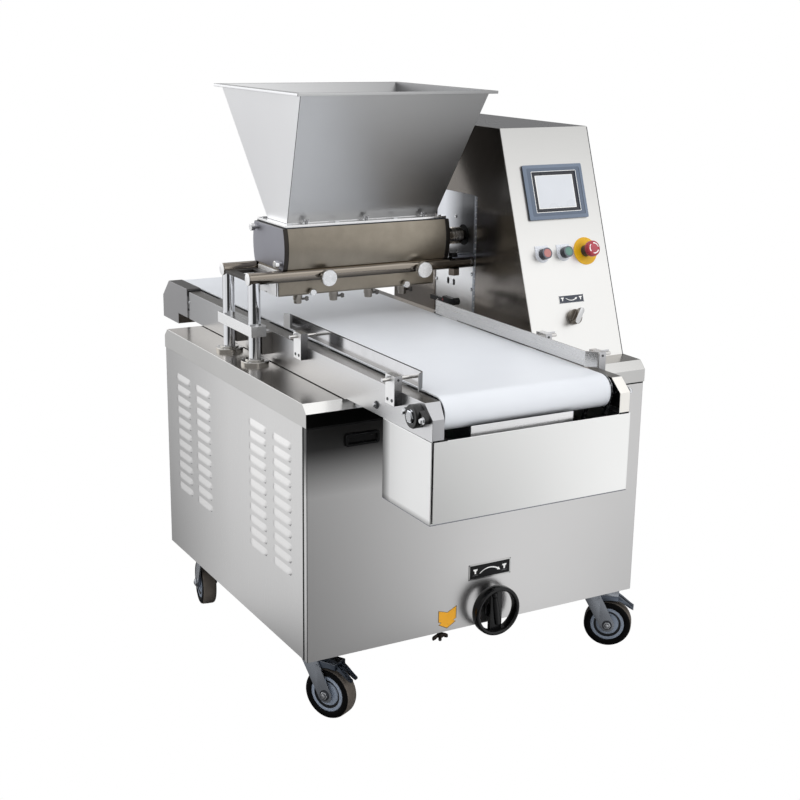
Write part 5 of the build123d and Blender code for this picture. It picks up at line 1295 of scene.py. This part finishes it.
gone = put(tree, "ShaderNodeBsdfTransparent")
seen = put(tree, "ShaderNodeLightPath").outputs
shown = put(tree, "ShaderNodeMixShader", {"Fac": seen["Is Camera Ray"], 1: matt.outputs[0], 2: gone.outputs[0]})
whole = put(tree, "ShaderNodeMixShader", {"Fac": seen["Is Glossy Ray"], 1: shown.outputs[0], 2: mirrored.outputs[0]})
put(tree, "ShaderNodeOutputMaterial", {"Surface": whole.outputs[0]})
ground.materials.append(pale)
world = bpy.data.worlds.new("studio_room")
bpy.context.scene.world = world
world.use_nodes = True
tree = world.node_tree
tree.nodes.clear()
toward = put(tree, "ShaderNodeTexCoord").outputs["Generated"]
height = axes(tree, toward)["Z"]


def lobe(middle, low, high, first, last):
    # A soft bright patch of the room about one direction
    facing = put(tree, "ShaderNodeVectorMath", {0: toward, 1: middle}, operation="DOT_PRODUCT").outputs["Value"]
    return span(tree, facing, low, high, first, last, "SMOOTHSTEP")


above = span(tree, height, 0.45, 0.8, 0.0, 0.7, "SMOOTHSTEP")
window = lobe((0.5, -0.8, 0.33), 0.72, 0.93, 0.0, 0.62)
screen_left = lobe((-0.45, 0.80, 0.40), 0.8, 0.95, 0.4, 1.6)
room = reckon(tree, "ADD", reckon(tree, "ADD", above, window), screen_left)
glow = put(tree, "ShaderNodeBackground", {"Color": cool_white, "Strength": room})
white_back = put(tree, "ShaderNodeBackground", {"Color": (1.0, 1.0, 1.0, 1.0), "Strength": 1.0})
seen = put(tree, "ShaderNodeLightPath").outputs
pick = put(tree, "ShaderNodeMixShader", {"Fac": seen["Is Camera Ray"], 1: glow.outputs[0], 2: white_back.outputs[0]})
put(tree, "ShaderNodeOutputWorld", {"Surface": pick.outputs[0]})
for name, spot, aim, wide, tall, power in (
        ("front_right", (2.6, -4.2, 2.6), (0, 0, 0.8), 2.4, 2.0, 50.0),
        ("top_wide", (-0.3, -0.9, 3.6), (0, -0.1, 0.8), 2.6, 2.2, 22.0),
        ("left_low", (-3.6, -0.6, 2.2), (0, 0, 0.7), 1.6, 1.6, 18.0)):
    light = bpy.data.lights.new(name, "AREA")
    light.shape = "RECTANGLE"
    light.size = wide
    light.size_y = tall
    light.energy = power
    made = bpy.data.objects.new(name, light)
    made.location = spot
    made.rotation_euler = (Vector(aim) - Vector(spot)).to_track_quat("-Z", "Y").to_euler()
    made.visible_glossy = False
    bpy.context.scene.collection.objects.link(made)
eye = bpy.data.cameras.new("photo_eye")
eye.lens = 62.05
eye.sensor_width = 36.0
eye.clip_end = 100.0
camera = bpy.data.objects.new("photo_eye", eye)
bpy.context.scene.collection.objects.link(camera)
yaw, pitch, roll = radians(29.691), radians(-15.347), radians(0.865)
right = Vector((cos(yaw), -sin(yaw), 0))
ahead = Vector((sin(yaw) * cos(pitch), cos(yaw) * cos(pitch), sin(pitch)))
over = right.cross(ahead)
level = cos(roll) * right + sin(roll) * over
upward = -sin(roll) * right + cos(roll) * over
camera.matrix_world = Matrix(((level.x, upward.x, -ahead.x, eye_x), (level.y, upward.y, -ahead.y, eye_y),
                              (level.z, upward.z, -ahead.z, eye_z), (0, 0, 0, 1)))
bpy.context.scene.camera = camera
bpy.context.scene.view_settings.view_transform = "Standard"
